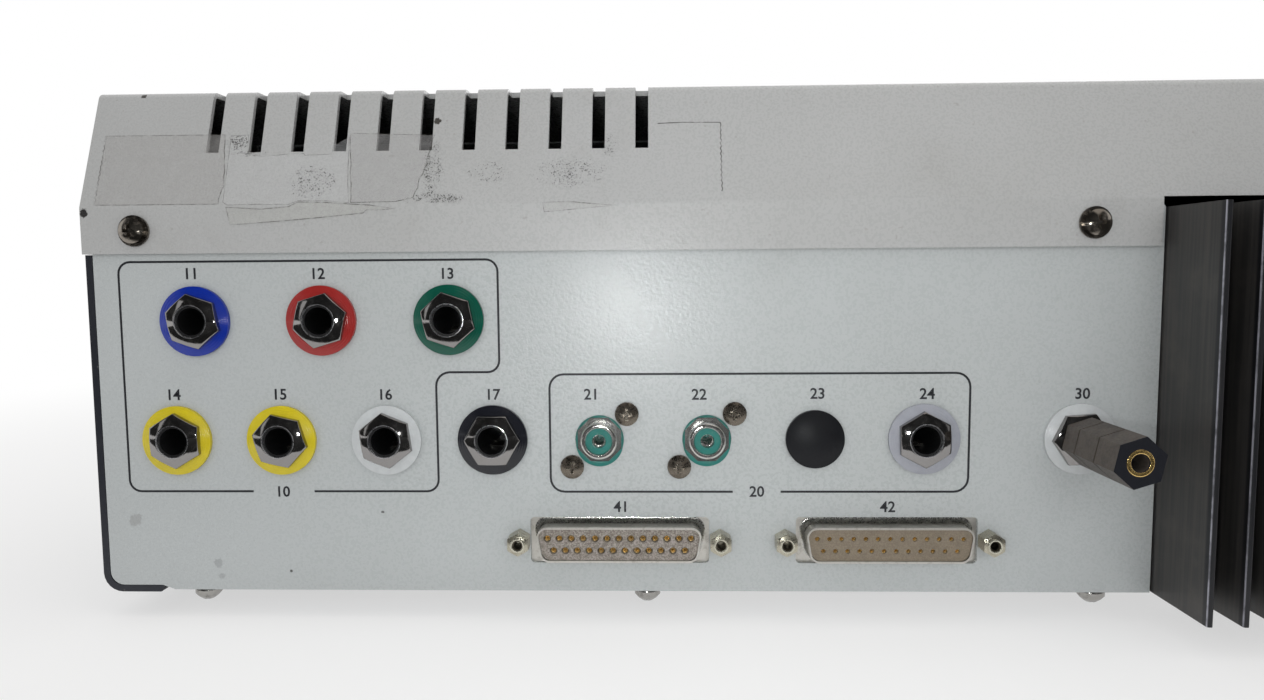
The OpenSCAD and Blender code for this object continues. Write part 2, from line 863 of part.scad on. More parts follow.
module dsub_shells() color("lightgray") {
    for (p = dsub_spots)
        on_rear(p)
            difference() {
                union() {
                    translate([0, 0, -panel_t - dsub_flange_t])
                        linear_extrude(dsub_flange_t) rounded_rect(53, 12.5, 1.2);
                    translate([0, 0, -panel_t - 0.1])
                        linear_extrude(panel_t + 0.1 + dsub_reach) dsub_outline(0);
                }
                translate([0, 0, -5])
                    linear_extrude(20) dsub_outline(-dsub_wall);
                for (x = [-1, 1])
                    translate([x * jackscrew_gap, 0, -5]) cylinder(h = 6, d = 3.1);
            }
}

// Contact places, seen from outside: thirteen above, twelve below
function pin_places() = concat(
    [for (i = [-6 : 6]) [i * pin_pitch, 1.42]],
    [for (i = [-6 : 5]) [(i + 0.5) * pin_pitch, -1.42]]
);

module dsub_insulators() color("tan") {
    floor_z = -0.6;
    rear_d = 11;
    for (p = dsub_spots)
        on_rear(p)
            difference() {
                union() {
                    translate([0, 0, -panel_t - dsub_flange_t])
                        linear_extrude(panel_t + dsub_flange_t + floor_z) dsub_outline(-dsub_wall - 0.05);
                    translate([0, 0, -panel_t - dsub_flange_t - rear_d])
                        linear_extrude(rear_d) square(dsub_cut - [2, 0.4], center = true);
                }
                for (q = pin_places())
                    translate([q[0], q[1], -20]) cylinder(h = 25, d = pin_d + 0.04, $fn = 24);
            }
}

module dsub_pins() color("goldenrod") {
    for (p = dsub_spots, q = pin_places())
        on_rear(p + q)
            translate([0, 0, -board_back]) {
                cylinder(h = board_back + pin_reach - pin_d / 2, d = pin_d, $fn = 24);
                translate([0, 0, board_back + pin_reach - pin_d / 2]) sphere(d = pin_d, $fn = 24);
            }
}

module jackscrews() color("lightgoldenrodyellow") {
    for (p = dsub_spots, x = [-1, 1])
        on_rear(p + [x * jackscrew_gap, 0])
            difference() {
                union() {
                    intersection() {
                        rotate([0, 0, 30]) hexagon(jackscrew_af, jackscrew_h);
                        translate([0, 0, jackscrew_h - 6]) sphere(6);
                    }
                    translate([0, 0, -7]) cylinder(h = 7.5, d = 2.9);
                }
                translate([0, 0, 0.4]) cylinder(h = 6, d = 2.4);
            }
}

// ---------------------------------------------------------------- heat sink and mains

// Extruded comb: a base behind the panels' edges, a pad between them and the fins
module heat_sink() color("black") {
    translate([panel_edge_x, rear_y, foot_h + sink_v])
        linear_extrude(sink_h)
            scale([-1, 1]) {
                translate([sink_u - sink_lap, -panel_t - sink_base_t])
                    square([sink_w + 2 * sink_lap, sink_base_t]);
                translate([sink_u, -panel_t - 1]) square([sink_w, panel_t + 1.5]);
                for (i = [0 : fin_count - 1])
                    translate([sink_u + fin_root_t / 2 + i * fin_pitch, 0]) fin_profile();
            }
}

// A fin seen from above: it tapers to a rounded tip
module fin_profile() {
    corner_r = fin_t * 0.35;
    polygon([
        [-fin_root_t / 2, 0], [fin_root_t / 2, 0],
        [fin_t / 2, fin_depth - corner_r], [-fin_t / 2, fin_depth - corner_r]
    ]);
    translate([0, fin_depth - corner_r])
        rounded_rect(fin_t, 2 * corner_r, corner_r - 0.001);
}

module power_transistors() color("black") {
    back = -panel_t - sink_base_t;
    for (i = [0 : 3])
        on_rear([sink_u + sink_w / 2 + (i - 1.5) * 26, 44]) {
            translate([-5, -8, back - 1.3]) cube([10, 16, 1.3]);
            translate([-5, -8, back - 4.5]) cube([10, 10, 4.4]);
            for (x = [-1, 0, 1])
                translate([x * 2.54 - 0.4, -20, back - 3]) cube([0.8, 12.5, 0.5]);
        }
}

module mains_inlet() color("black") {
    flange_t = 2.5;
    depth = 20;
    on_rear([inlet_u, inlet_v])
        difference() {
            union() {
                linear_extrude(flange_t) rounded_rect(inlet_flange[0], inlet_flange[1], 3);
                translate([0, 0, -depth]) linear_extrude(depth + 1) square(inlet_body, center = true);
            }
            translate([0, 0, flange_t - 18])
                linear_extrude(20)
                    polygon(rounded([
                        [-12.2, -8.2, 1], [12.2, -8.2, 1], [12.2, 4.2, 0.5],
                        [8.2, 8.2, 0.5], [-8.2, 8.2, 0.5], [-12.2, 4.2, 0.5]
                    ]));
            for (x = [-1, 1])
                translate([x * inlet_screw_gap, 0, -5]) cylinder(h = 10, d = 2.8);
            inlet_pin_places() translate([0, 0, -40]) cube([2.06, 4.06, 80], center = true);
        }
}

module inlet_pin_places() {
    for (q = [[-7, -2], [0, 2], [7, -2]]) translate(q) children();
}

module inlet_pins() color("silver") {
    on_rear([inlet_u, inlet_v])
        inlet_pin_places()
            translate([-1, -2, -27]) cube([2, 4, 26.5]);
}

module fuse_holders() color("black") {
    for (p = fuse_spots)
        on_rear(p)
            difference() {
                union() {
                    cylinder(h = 2, d = 17);
                    translate([0, 0, 1.9]) cylinder(h = 5, d1 = 15, d2 = 14);
                    translate([0, 0, -30]) cylinder(h = 31, d = fuse_d);
                    translate([0, 0, -panel_t - 3]) hexagon(16, 3);
                }
                translate([-5, -0.6, 5.4]) cube([10, 1.2, 5]);
            }
}

module switch_housing() color("black") {
    hollow_w = rocker_w + 2 * rocker_gap;
    hollow_h = 2 * (rocker_r + rocker_gap);
    on_rear([switch_u, switch_v])
        difference() {
            union() {
                linear_extrude(1.8) rounded_rect(15.4, 22.4, 1.5);
                translate([0, 0, -16]) linear_extrude(17) square(switch_body, center = true);
            }
            translate([-hollow_w / 2, -hollow_h / 2, rocker_pivot - rocker_r - rocker_gap])
                cube([hollow_w, hollow_h, 30]);
            rotate([0, 90, 0])
                translate([-rocker_pivot, 0, -rocker_w / 2 - 0.8])
                    cylinder(h = rocker_w + 1.6, d = pivot_d + 2 * shaft_fit);
        }
}

// Two faces at an angle over a round belly, on a pivot pin, shown with its lower half pressed in
module mains_rocker() color("black") {
    pin_l = rocker_w + 1.2;
    face = 4.6;
    on_rear([switch_u, switch_v])
        translate([0, 0, rocker_pivot])
            rotate([rocker_tilt, 0, 0])
                rotate([0, 90, 0]) {
                    translate([0, 0, -rocker_w / 2])
                        intersection() {
                            cylinder(h = rocker_w, r = rocker_r);
                            linear_extrude(rocker_w)
                                polygon([
                                    [10, -10], [10, 10],
                                    [-face - 10 * tan(rocker_tilt), 10],
                                    [-face, 0],
                                    [-face - 10 * tan(rocker_tilt), -10]
                                ]);
                        }
                    translate([0, 0, -pin_l / 2]) cylinder(h = pin_l, d = pivot_d);
                }
}

// ---------------------------------------------------------------- controls

module display_window() color("black") {
    on_desk(window_at)
        translate([0, 0, -desk_t])
            linear_extrude(desk_t) rounded_rect(window_w, window_s, 3);
}

module display_module() color("darkgreen") {
    on_desk(window_at)
        translate([0, 0, -desk_t - seat_gap - 10])
            linear_extrude(10) square([window_w + 8, window_s + 8], center = true);
}

// Body and threaded bushing of one encoder or potentiometer, with its nut
module rotary_body() {
    difference() {
        union() {
            translate([-rotary_side / 2, -rotary_side / 2, -desk_t - rotary_h])
                cube([rotary_side, rotary_side, rotary_h - seat_gap]);
            translate([0, 0, -desk_t - 1]) cylinder(h = desk_t + 1 + control_reach, d = bushing_control_d);
            translate([0, 0, seat_gap]) hexagon(control_nut_af, control_nut_h);
        }
        translate([0, 0, -desk_t - rotary_h + rotary_floor])
            cylinder(h = 40, d = shaft_d + 2 * shaft_fit);
    }
}

module rotary_controls() color("silver") {
    for (side = [-1, 1], p = [dial_at, knob_at])
        on_desk([side * p[0], p[1]]) rotary_body();
}

// Large dial: knurled skirt, stepped grip with a finger dimple, and its shaft
module attenuator_dial(side) {
    flutes = 36;
    grip_d = dial_d * 0.72;
    on_desk([side * dial_at[0], dial_at[1]]) {
        difference() {
            translate([0, 0, knob_gap])
                rotate_extrude($fn = 96)
                    polygon(rounded([
                        [0, 0, 0], [dial_d / 2, 0, 0], [dial_d / 2, 5, 1.2],
                        [grip_d / 2 + 1, 6.5, 1], [grip_d / 2 - 1, dial_h, 2], [0, dial_h, 0]
                    ]));
            translate([0, 0, -1]) cylinder(h = knob_gap + recess_h + 1, d = 15);
            for (i = [0 : flutes - 1])
                rotate([0, 0, i * 360 / flutes])
                    translate([dial_d / 2 + 1, 0, -1]) cylinder(h = 12, d = 3.2, $fn = 16);
            translate([0, grip_d * 0.27, knob_gap + dial_h + 9]) sphere(d = 23);
        }
        translate([0, 0, shaft_bottom])
            cylinder(h = knob_gap + recess_h + 1 - shaft_bottom, d = shaft_d);
    }
}

module level_knob(side) {
    height = 14;
    on_desk([side * knob_at[0], knob_at[1]]) {
        difference() {
            translate([0, 0, knob_gap])
                rotate_extrude()
                    polygon(rounded([
                        [0, 0, 0], [knob_d / 2, 0, 0], [knob_d / 2, height, 1.2], [0, height, 0]
                    ]));
            translate([0, 0, -1]) cylinder(h = knob_gap + recess_h + 1, d = control_nut_af / cos(30) + 0.8);
            for (i = [0 : 17])
                rotate([0, 0, i * 20 + 10])
                    translate([knob_d / 2 + 0.5, 0, 4]) cylinder(h = 20, d = 2, $fn = 16);
            translate([-0.6, 2, knob_gap + height - 0.6]) cube([1.2, knob_d, 2]);
        }
        translate([0, 0, shaft_bottom])
            cylinder(h = knob_gap + recess_h + 1 - shaft_bottom, d = shaft_d);
    }
}

module attenuator_dial_left() color("dimgray") attenuator_dial(-1);
module attenuator_dial_right() color("dimgray") attenuator_dial(1);
module level_knob_left() color("dimgray") level_knob(-1);
module level_knob_right() color("dimgray") level_knob(1);

// A pressed key: cap, body in its cut-out, retaining lip under the sheet and a stem to its switch
module key(p, size) {
    lip_top = -desk_t - 0.2;
    stem_bottom = -desk_t - key_board_gap + switch_h + key_travel + 0.3;
    on_desk(p) {
        hull() {
            translate([0, 0, key_cap_h - 1.6])
                linear_extrude(0.1) rounded_rect(size[0], size[1], 1.2, $fn = 32);
            translate([0, 0, key_cap_h - 0.1])
                linear_extrude(0.1) rounded_rect(size[0] - 2, size[1] - 2, 1.2, $fn = 32);
        }
        translate([0, 0, lip_top - 0.1])
            linear_extrude(key_cap_h - 1.55 - lip_top + 0.1) rounded_rect(size[0], size[1], 1.2);
        translate([0, 0, lip_top - key_lip_t])
            linear_extrude(key_lip_t)
                square([size[0] + 2 * key_lip, size[1] + 2 * key_lip], center = true);
        translate([0, 0, stem_bottom])
            cylinder(h = lip_top - key_lip_t - stem_bottom + 0.1, d = 4);
    }
}

module tone_bar_left() color("lightgray") key([-tone_at[0], tone_at[1]], tone_size);
module tone_bar_right() color("lightgray") key(tone_at, tone_size);
module frequency_key_down() color("lightgray") key([-frequency_at[0], frequency_at[1]], frequency_size);
module frequency_key_up() color("lightgray") key(frequency_at, frequency_size);

// Function keys, numbered from the left
function function_key_at(i) =
    let (
        left = i < keys_per_channel,
        step = left ? keys_per_channel - 1 - i : i - keys_per_channel
    )
    [(left ? -1 : 1) * (function_first_x + step * key_pitch), function_s];
module function_key(i) {
    key(function_key_at(i - 1), function_size);
}
module function_key_1() color("slategray") function_key(1);
module function_key_2() color("slategray") function_key(2);
module function_key_3() color("slategray") function_key(3);
module function_key_4() color("slategray") function_key(4);
module function_key_5() color("slategray") function_key(5);
module function_key_6() color("slategray") function_key(6);
module function_key_7() color("slategray") function_key(7);
module function_key_8() color("slategray") function_key(8);

// ---------------------------------------------------------------- inside

module connector_board() color("darkgreen") {
    on_rear([0, 0])
        translate([board_edge, board_edge / 2, -board_back - board_t])
            cube([sink_u - 2.5 * board_edge, flange_v - board_edge, board_t]);
}

module main_board() color("darkgreen") {
    z = foot_h + tray_top + standoff_h;
    translate([0, main_board_y, z]) {
        translate([-main_board_size[0] / 2, -main_board_size[1] / 2, 0])
            cube([main_board_size[0], main_board_size[1], board_t]);
        for (i = [-2 : 1], j = [-1, 0])
            translate([i * chip_pitch[0], j * chip_pitch[1], board_t - 0.1]) cube(chip);
        for (i = [1 : 3], j = [-1, 1])
            translate([main_board_size[0] / 2 - i * 1.4 * capacitor_d, j * 3.5 * capacitor_d, board_t - 0.1])
                cylinder(h = capacitor_h, d = capacitor_d);
    }
}

// Switch board under the keys, held on the control panel's studs
module key_board() color("darkgreen") {
    first = stud_spots[0];
    last = stud_spots[len(stud_spots) - 1];
    border = 6;
    z = -desk_t - key_board_gap - seat_gap;
    on_desk([0, 0]) {
        translate([first[0] - border, first[1] - border, z - board_t])
            cube([last[0] - first[0] + 2 * border, last[1] - first[1] + 2 * border, board_t]);
        for (side = [-1, 1]) {
            key_switch([side * tone_at[0], tone_at[1]]);
            key_switch([side * frequency_at[0], frequency_at[1]]);
        }
        for (i = [0 : 2 * keys_per_channel - 1]) key_switch(function_key_at(i));
    }
}

module key_switch(p) {
    translate([p[0] - 6, p[1] - 6, -desk_t - key_board_gap - 0.1]) cube([12, 12, switch_h + 0.1]);
}

// Stacked core with its foot plate
module transformer_core() color("dimgray") {
    translate([transformer_at[0], transformer_at[1], foot_h + tray_top]) {
        translate([-core_size[0] * 0.64, -core_size[1] / 2, 0])
            cube([core_size[0] * 1.28, core_size[1], core_foot_t]);
        difference() {
            translate([-core_size[0] / 2, -core_size[1] / 2, core_foot_t - 0.1]) cube(core_size);
            for (x = [-1, 1])
                translate([x * (core_leg_w + core_window[0]) / 2, 0, core_foot_t - 0.1 + core_size[2] / 2])
                    cube([core_window[0], core_size[1] + 2, core_window[1]], center = true);
        }
    }
}

module transformer_coil() color("khaki") {
    middle = foot_h + tray_top + core_foot_t - 0.1 + core_size[2] / 2;
    translate([transformer_at[0], transformer_at[1], middle])
        difference() {
            cube([core_leg_w + 2 * coil_wall, core_size[1] + 2 * coil_wall, core_window[1] - 0.6],
                 center = true);
            cube([core_leg_w + 0.4, core_size[1] + 0.4, core_window[1] + 10], center = true);
        }
}

// ---------------------------------------------------------------- output

base_tray();
connector_panel();
mains_panel();
top_cover();
left_cheek();
right_cheek();
control_panel();
front_rail();
heat_sink();
cover_screws();
base_screws();
rubber_feet();
blue_washer();
red_washer();
green_washer();
yellow_washers();
clear_washers();
black_washer();
grey_washer();
jack_nuts();
jack_sockets();
phono_insulators();
phono_shells();
phono_screws();
microphone_blank();
dsub_shells();
dsub_insulators();
dsub_pins();
jackscrews();
mains_inlet();
inlet_pins();
fuse_holders();
switch_housing();
mains_rocker();
monitor_adapter();
display_window();
display_module();
connector_board();
main_board();
key_board();
rotary_controls();
transformer_core();
transformer_coil();
power_transistors();
attenuator_dial_left();
attenuator_dial_right();
level_knob_left();
level_knob_right();
tone_bar_left();
tone_bar_right();
frequency_key_down();
frequency_key_up();
function_key_1();
function_key_2();
function_key_3();
function_key_4();
function_key_5();
function_key_6();
function_key_7();
function_key_8();
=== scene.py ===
import math
import random

import bmesh
import bpy
from mathutils import Matrix, Vector


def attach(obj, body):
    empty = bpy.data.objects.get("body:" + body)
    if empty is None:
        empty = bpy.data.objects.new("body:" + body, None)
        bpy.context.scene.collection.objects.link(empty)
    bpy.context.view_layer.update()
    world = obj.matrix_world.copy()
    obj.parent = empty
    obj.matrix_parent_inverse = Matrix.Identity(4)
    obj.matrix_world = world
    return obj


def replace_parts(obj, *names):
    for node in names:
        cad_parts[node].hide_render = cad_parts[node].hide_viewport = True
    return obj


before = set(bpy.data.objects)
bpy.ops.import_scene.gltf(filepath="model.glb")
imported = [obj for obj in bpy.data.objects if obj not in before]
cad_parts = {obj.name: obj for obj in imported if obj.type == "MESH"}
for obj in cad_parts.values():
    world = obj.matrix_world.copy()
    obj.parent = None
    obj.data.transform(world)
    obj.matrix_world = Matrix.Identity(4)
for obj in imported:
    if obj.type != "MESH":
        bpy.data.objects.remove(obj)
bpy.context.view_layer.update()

print("frame loaded:", len(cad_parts), "nodes")

# millimetres, as the part stands
case = {
    "rearY": 167.35,
    "edgeX": 248.4,
    "footH": 7.0,
    "rearH": 90.8,
    "coverT": 1.2,
    "foldR": 2.2,
    "lean": math.atan2(10.5, 27.8),
    "slopeFootY": -168.65,
    "frontH": 42.0,
    "deskTilt": math.radians(17.5165),
}


# places on the object

def axes(origin, right, up):
    right, up = Vector(right), Vector(up)
    place = Matrix((right, up, right.cross(up))).transposed().to_4x4()
    place.translation = Vector(origin)
    return place


def onRear(u, v, out=0.0):  # x runs right and y up as one faces the rear, z comes out
    return axes((case["edgeX"] - u, case["rearY"] + out, case["footH"] + v), (-1, 0, 0), (0, 0, 1))


def onDesk(x, s, out=0.0):  # x runs right and y up the control panel, z comes out
    tilt = case["deskTilt"]
    up = Vector((0, math.cos(tilt), math.sin(tilt)))
    away = Vector((0, -math.sin(tilt), math.cos(tilt)))
    start = Vector((x, case["slopeFootY"], case["footH"] + case["frontH"]))
    return axes(start + up * s + away * out, (1, 0, 0), up)


def onCover(u, w, out=0.0):  # w runs up the leaning sheet from its fold, and down the flange below 0
    lean, foldR = case["lean"], case["foldR"]
    bottom = Vector((case["edgeX"] - u, case["rearY"] + case["coverT"], case["footH"] + case["rearH"]))
    reach = foldR * math.tan(lean / 2)
    turn = lean * min(max((w + reach) / (2 * reach), 0), 1)
    away = Vector((0, math.cos(turn), math.sin(turn)))
    if w > reach:
        return bottom + Vector((0, -math.sin(lean), math.cos(lean))) * w + away * out
    if w < -reach:
        return bottom + Vector((0, 0, w)) + away * out
    centre = bottom + Vector((0, -foldR, -reach))
    return centre + away * (foldR + out)


# shapes

def outward(shape):  # with its faces turned to the outside
    bmesh.ops.recalc_face_normals(shape, faces=shape.faces)
    return shape


def move(shape, place):
    bmesh.ops.transform(shape, matrix=place, verts=shape.verts)


def cut(shape, at, facing):
    bmesh.ops.bisect_plane(shape, geom=shape.verts[:] + shape.edges[:] + shape.faces[:],
                           plane_co=at, plane_no=facing)


def meshOf(shape, name):
    mesh = bpy.data.meshes.new(name)
    shape.to_mesh(mesh)
    shape.free()
    return mesh


def standing(name, data):  # a new object in the scene
    thing = bpy.data.objects.new(name, data)
    bpy.context.scene.collection.objects.link(thing)
    return thing


def joinInto(target, shape, place=Matrix()):
    move(shape, place)
    carrier = meshOf(shape, "carrier")
    target.from_mesh(carrier)
    bpy.data.meshes.remove(carrier)


def addPiece(name, shape, finish, body="case", smooth=None):
    bmesh.ops.scale(shape, vec=(0.001, 0.001, 0.001), verts=shape.verts)
    mesh = meshOf(shape, name)
    for each in finish if isinstance(finish, list) else [finish]:
        mesh.materials.append(each)
    if smooth is not None:
        mesh.shade_smooth()
        mesh.set_sharp_from_angle(angle=math.radians(smooth))
    piece = standing(name, mesh)
    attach(piece, body)
    return piece


def shapeOf(data):  # a bmesh of a curve or text, which is then removed
    thing = standing("curve", data)
    bpy.context.view_layer.update()
    mesh = bpy.data.meshes.new_from_object(thing.evaluated_get(bpy.context.evaluated_depsgraph_get()))
    shape = bmesh.new()
    shape.from_mesh(mesh)
    bpy.data.objects.remove(thing)
    bpy.data.curves.remove(data)
    bpy.data.meshes.remove(mesh)
    bmesh.ops.remove_doubles(shape, verts=shape.verts, dist=1e-6)
    return shape


lettering = {"curve": 3, "depth": 0.01, "swell": 0.018, "ink": 0.03}


def numberShape(text, height):
    words = bpy.data.curves.new("ink", "FONT")
    words.body = text
    words.align_x = "CENTER"
    words.align_y = "CENTER"
    words.resolution_u = lettering["curve"]
    words.extrude = lettering["depth"]
    words.offset = lettering["swell"]
    shape = shapeOf(words)
    across, up = [v.co.x for v in shape.verts], [v.co.y for v in shape.verts]
    middle = (-(min(across) + max(across)) / 2, -(min(up) + max(up)) / 2, 0)
    bmesh.ops.translate(shape, vec=middle, verts=shape.verts)
    grow = height / (max(up) - min(up))
    bmesh.ops.scale(shape, vec=(grow, grow, lettering["ink"] / lettering["depth"]), verts=shape.verts)
    return shape


def addSpline(path, points, closed):
    spline = path.splines.new("POLY")
    spline.points.add(len(points) - 1)
    for spot, at in zip(spline.points, points):
        spot.co = (at[0], at[1], 0, 1)
    spline.use_cyclic_u = closed


def lineShape(points, width, thick=0.03):
    path = bpy.data.curves.new("line", "CURVE")
    path.dimensions = "3D"
    addSpline(path, points, False)
    path.bevel_depth = width / 2
    path.bevel_resolution = 1
    path.use_fill_caps = True
    shape = shapeOf(path)
    bmesh.ops.scale(shape, vec=(1, 1, 2 * thick / width), verts=shape.verts)
    return shape


def outlineFace(corners):  # corners are x, y and radius
    shape = bmesh.new()
    spots = [shape.verts.new((x, y, 0)) for x, y, r in corners]
    shape.faces.new(spots)
    for spot, (x, y, r) in zip(spots, corners):
        if r > 0:
            bmesh.ops.bevel(shape, geom=[spot], offset=r, offset_type="OFFSET", affect="VERTICES",
                            segments=6, profile=0.5, material=-1)
    shape.normal_update()
    return shape


def frameLine(corners, width, gap=None, thick=0.03):
    shape = outlineFace(corners)
    inner = list(shape.faces)
    bmesh.ops.inset_region(shape, faces=inner, thickness=width, use_boundary=True, use_even_offset=True)
    bmesh.ops.delete(shape, geom=inner, context="FACES")
    if gap:
        low, x0, x1 = gap
        for x in (x0, x1):
            cut(shape, (x, 0, 0), (1, 0, 0))
        out = [f for f in shape.faces
               if x0 < f.calc_center_median().x < x1 and abs(f.calc_center_median().y - low) < 2 * width]
        bmesh.ops.delete(shape, geom=out, context="FACES")
    raised = bmesh.ops.extrude_face_region(shape, geom=shape.faces[:])["geom"]
    raised = [v for v in raised if isinstance(v, bmesh.types.BMVert)]
    bmesh.ops.translate(shape, vec=(0, 0, thick), verts=raised)
    return outward(shape)


def turned(shape, steps):  # a profile spun into a round piece
    bmesh.ops.spin(shape, geom=shape.verts[:] + shape.edges[:], cent=(0, 0, 0), axis=(0, 0, 1),
                   angle=2 * math.pi, steps=steps, use_merge=True)
    bmesh.ops.remove_doubles(shape, verts=shape.verts, dist=1e-4)
    return outward(shape)


def tubeShape(outer, inner, length, steps, lip):
    shape = bmesh.new()
    corners = [(inner, 0), (outer, 0), (outer, length), (inner, length)]
    spots = [shape.verts.new((r, 0, z)) for r, z in corners]
    for a, b in zip(spots, spots[1:] + spots[:1]):
        shape.edges.new((a, b))
    bmesh.ops.bevel(shape, geom=[spots[2], spots[3]], offset=lip, offset_type="OFFSET", affect="VERTICES",
                    segments=3, profile=0.5, material=-1)
    return turned(shape, steps)


# finishes

class Signal:  # a socket that takes part in sums
    def __init__(self, finish, socket):
        self.finish = finish
        self.socket = socket

    def __add__(self, other):
        return self.finish.sum("ADD", self, other)

    def __sub__(self, other):
        return self.finish.sum("SUBTRACT", self, other)

    def __rsub__(self, other):
        return self.finish.sum("SUBTRACT", other, self)

    def __mul__(self, other):
        return self.finish.sum("MULTIPLY", self, other)


class Finish:
    def __init__(self, name, material=None):
        self.material = material or bpy.data.materials.new(name)
        self.material.use_nodes = True
        self.nodes = self.material.node_tree.nodes
        self.links = self.material.node_tree.links
        self.nodes.clear()
        spot = self.node("TexCoord", output="Object")
        self.at = self.node("VectorMath", {"operation": "SCALE"}, {0: spot, "Scale": 1000.0})  # millimetres

    def node(self, kind, settings=None, inputs=None, output=0):
        made = self.nodes.new("ShaderNode" + kind)
        for key, value in (settings or {}).items():
            setattr(made, key, value)
        for key, value in (inputs or {}).items():
            socket = made.inputs[key]
            if isinstance(value, Signal):
                self.links.new(value.socket, socket)
            elif isinstance(value, tuple) and socket.type == "RGBA":
                socket.default_value = (*value[:3], 1)
            else:
                socket.default_value = value
        return Signal(self, made.outputs[output])

    def sum(self, operation, a, b):
        return self.node("Math", {"operation": operation}, {0: a, 1: b})

    def limit(self, value, low=0.0, high=1.0, start=0.0, end=1.0):
        return self.node("MapRange", {"interpolation_type": "SMOOTHSTEP"},
                         {"Value": value, "From Min": low, "From Max": high, "To Min": start, "To Max": end})

    def blend(self, share, a, b, mode="MIX"):
        return self.node("Mix", {"data_type": "RGBA", "blend_type": mode}, {0: share, 6: a, 7: b}, output=2)

    def noise(self, scale, detail=2.0, rough=0.5, stretch=None, shift=0.0):
        at = self.at
        if stretch or shift:
            at = self.node("Mapping", None, {"Vector": at, "Scale": stretch or (1, 1, 1),
                                             "Location": (shift, shift * 0.7, shift * 1.3)})
        return self.node("TexNoise", None, {"Vector": at, "Scale": scale, "Detail": detail, "Roughness": rough})

    def away(self, centre, at=None):  # distance from a place
        return self.node("VectorMath", {"operation": "DISTANCE"}, {0: at or self.at, 1: centre}, output="Value")

    def tint(self, colour, tone):
        grey = self.node("CombineColor", None, {0: tone, 1: tone, 2: tone})
        return self.blend(1.0, colour, grey, "MULTIPLY")

    def axis(self, letter):
        return self.node("SeparateXYZ", None, {0: self.at}, output=letter)

    def bump(self, height, depth, strength=1.0):
        return self.node("Bump", None, {"Height": height, "Distance": depth * 0.001, "Strength": strength})

    def close(self, **values):
        names = {"colour": "Base Color", "roughness": "Roughness", "metallic": "Metallic", "normal": "Normal",
                 "alpha": "Alpha", "coat": "Coat Weight", "coatRoughness": "Coat Roughness",
                 "specular": "Specular IOR Level"}
        shader = self.node("BsdfPrincipled", None, {names[key]: value for key, value in values.items()})
        return self.end(shader)

    def seen(self):  # 1 for what the camera, a reflection or a clear piece looks at, 0 for light on a surface
        camera, glossy, through = (self.node("LightPath", output="Is %s Ray" % kind)
                                   for kind in ("Camera", "Glossy", "Transmission"))
        return camera + glossy + through

    def end(self, shader, kind="Material"):
        output = self.nodes.new("ShaderNodeOutput" + kind)
        self.links.new(shader.socket, output.inputs["Surface"])
        return self.material


# cloud, smear, speck and wobble are a noise's scale, detail and roughness, and the plurals are its levels
paintPattern = {"cloud": (0.012, 3, 0.55), "clouds": (0.35, 0.65), "smear": (0.05, 5, 0.65),
                "smears": (0.56, 0.74), "speck": (0.9, 1, 0.5), "specks": (0.74, 0.78), "speckDirt": 3,
                "wobble": (1.4, 2, 0.6), "wobbleBy": 1.6, "markEdge": (0.8, 1.1)}


def paintFinish(name, settings, marks=()):
    made = Finish(name)
    kind, dirt = paintPattern, settings["dirt"]
    cloud = made.limit(made.noise(*kind["cloud"]), *kind["clouds"])
    shade = made.blend(cloud, settings["base"], settings["shade"])
    smear = made.limit(made.noise(*kind["smear"], shift=40), *kind["smears"]) * dirt
    shade = made.blend(smear, shade, settings["grime"])
    speck = made.limit(made.noise(*kind["speck"], shift=90), *kind["specks"]) * dirt * kind["speckDirt"]
    shade = made.blend(speck, shade, settings["grime"])
    for centre, radius, colour in marks:
        wobble = made.noise(*kind["wobble"]) * kind["wobbleBy"] - kind["wobbleBy"] / 2
        near, far = (radius * share for share in kind["markEdge"])
        shade = made.blend(made.limit(made.away(centre) + wobble * radius, near, far, 1.0, 0.0), shade, colour)
    peel = made.noise(settings["grain"], 1.5, 0.45)
    waves = made.noise(settings["grain"] * 0.3, 1, 0.4, shift=10)
    rough = made.limit(peel, 0.3, 0.7, settings["rough"] - 0.05, settings["rough"] + 0.07)
    return made.close(colour=shade, roughness=rough,
                      normal=made.bump(peel + waves * 0.5, settings["relief"], 0.6))


def plasticFinish(name, base, rough=0.3, grain=2.0, relief=0.01, dust=0.0, specular=0.5):
    made = Finish(name)
    shade = made.tint(base, made.limit(made.noise(0.25, 3, 0.6), 0.3, 0.7, 0.86, 1.0))
    if dust:
        lint = made.limit(made.noise(0.8, 4, 0.7, shift=30), 0.5, 0.72) * dust
        shade = made.blend(lint, shade, (0.3, 0.27, 0.23))
    skin = made.noise(grain, 2, 0.5)
    return made.close(colour=shade, roughness=made.limit(skin, 0.3, 0.7, rough - 0.04, rough + 0.08),
                      specular=specular, normal=made.bump(skin, relief, 0.5))


def metalFinish(name, base, rough=0.25, tarnish=(0.2, 0.17, 0.13), wear=0.25, pits=0.01, grain=3.0):
    made = Finish(name)
    patch = made.limit(made.noise(0.7, 4, 0.65, shift=12), 0.48, 0.72) * wear
    shade = made.blend(patch, base, tarnish)
    streak = made.noise(grain, 3, 0.6)
    gloss = made.limit(streak, 0.3, 0.75, rough * 0.75, rough * 1.35) + patch * 0.25
    return made.close(colour=shade, roughness=gloss, metallic=1.0 - patch * 0.5,
                      normal=made.bump(streak, pits, 0.5))


def dress(finish, *nodes):
    for name in nodes:
        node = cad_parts[name]
        if not node.material_slots:
            node.data.materials.append(finish)
        for each in node.material_slots:
            each.material = finish


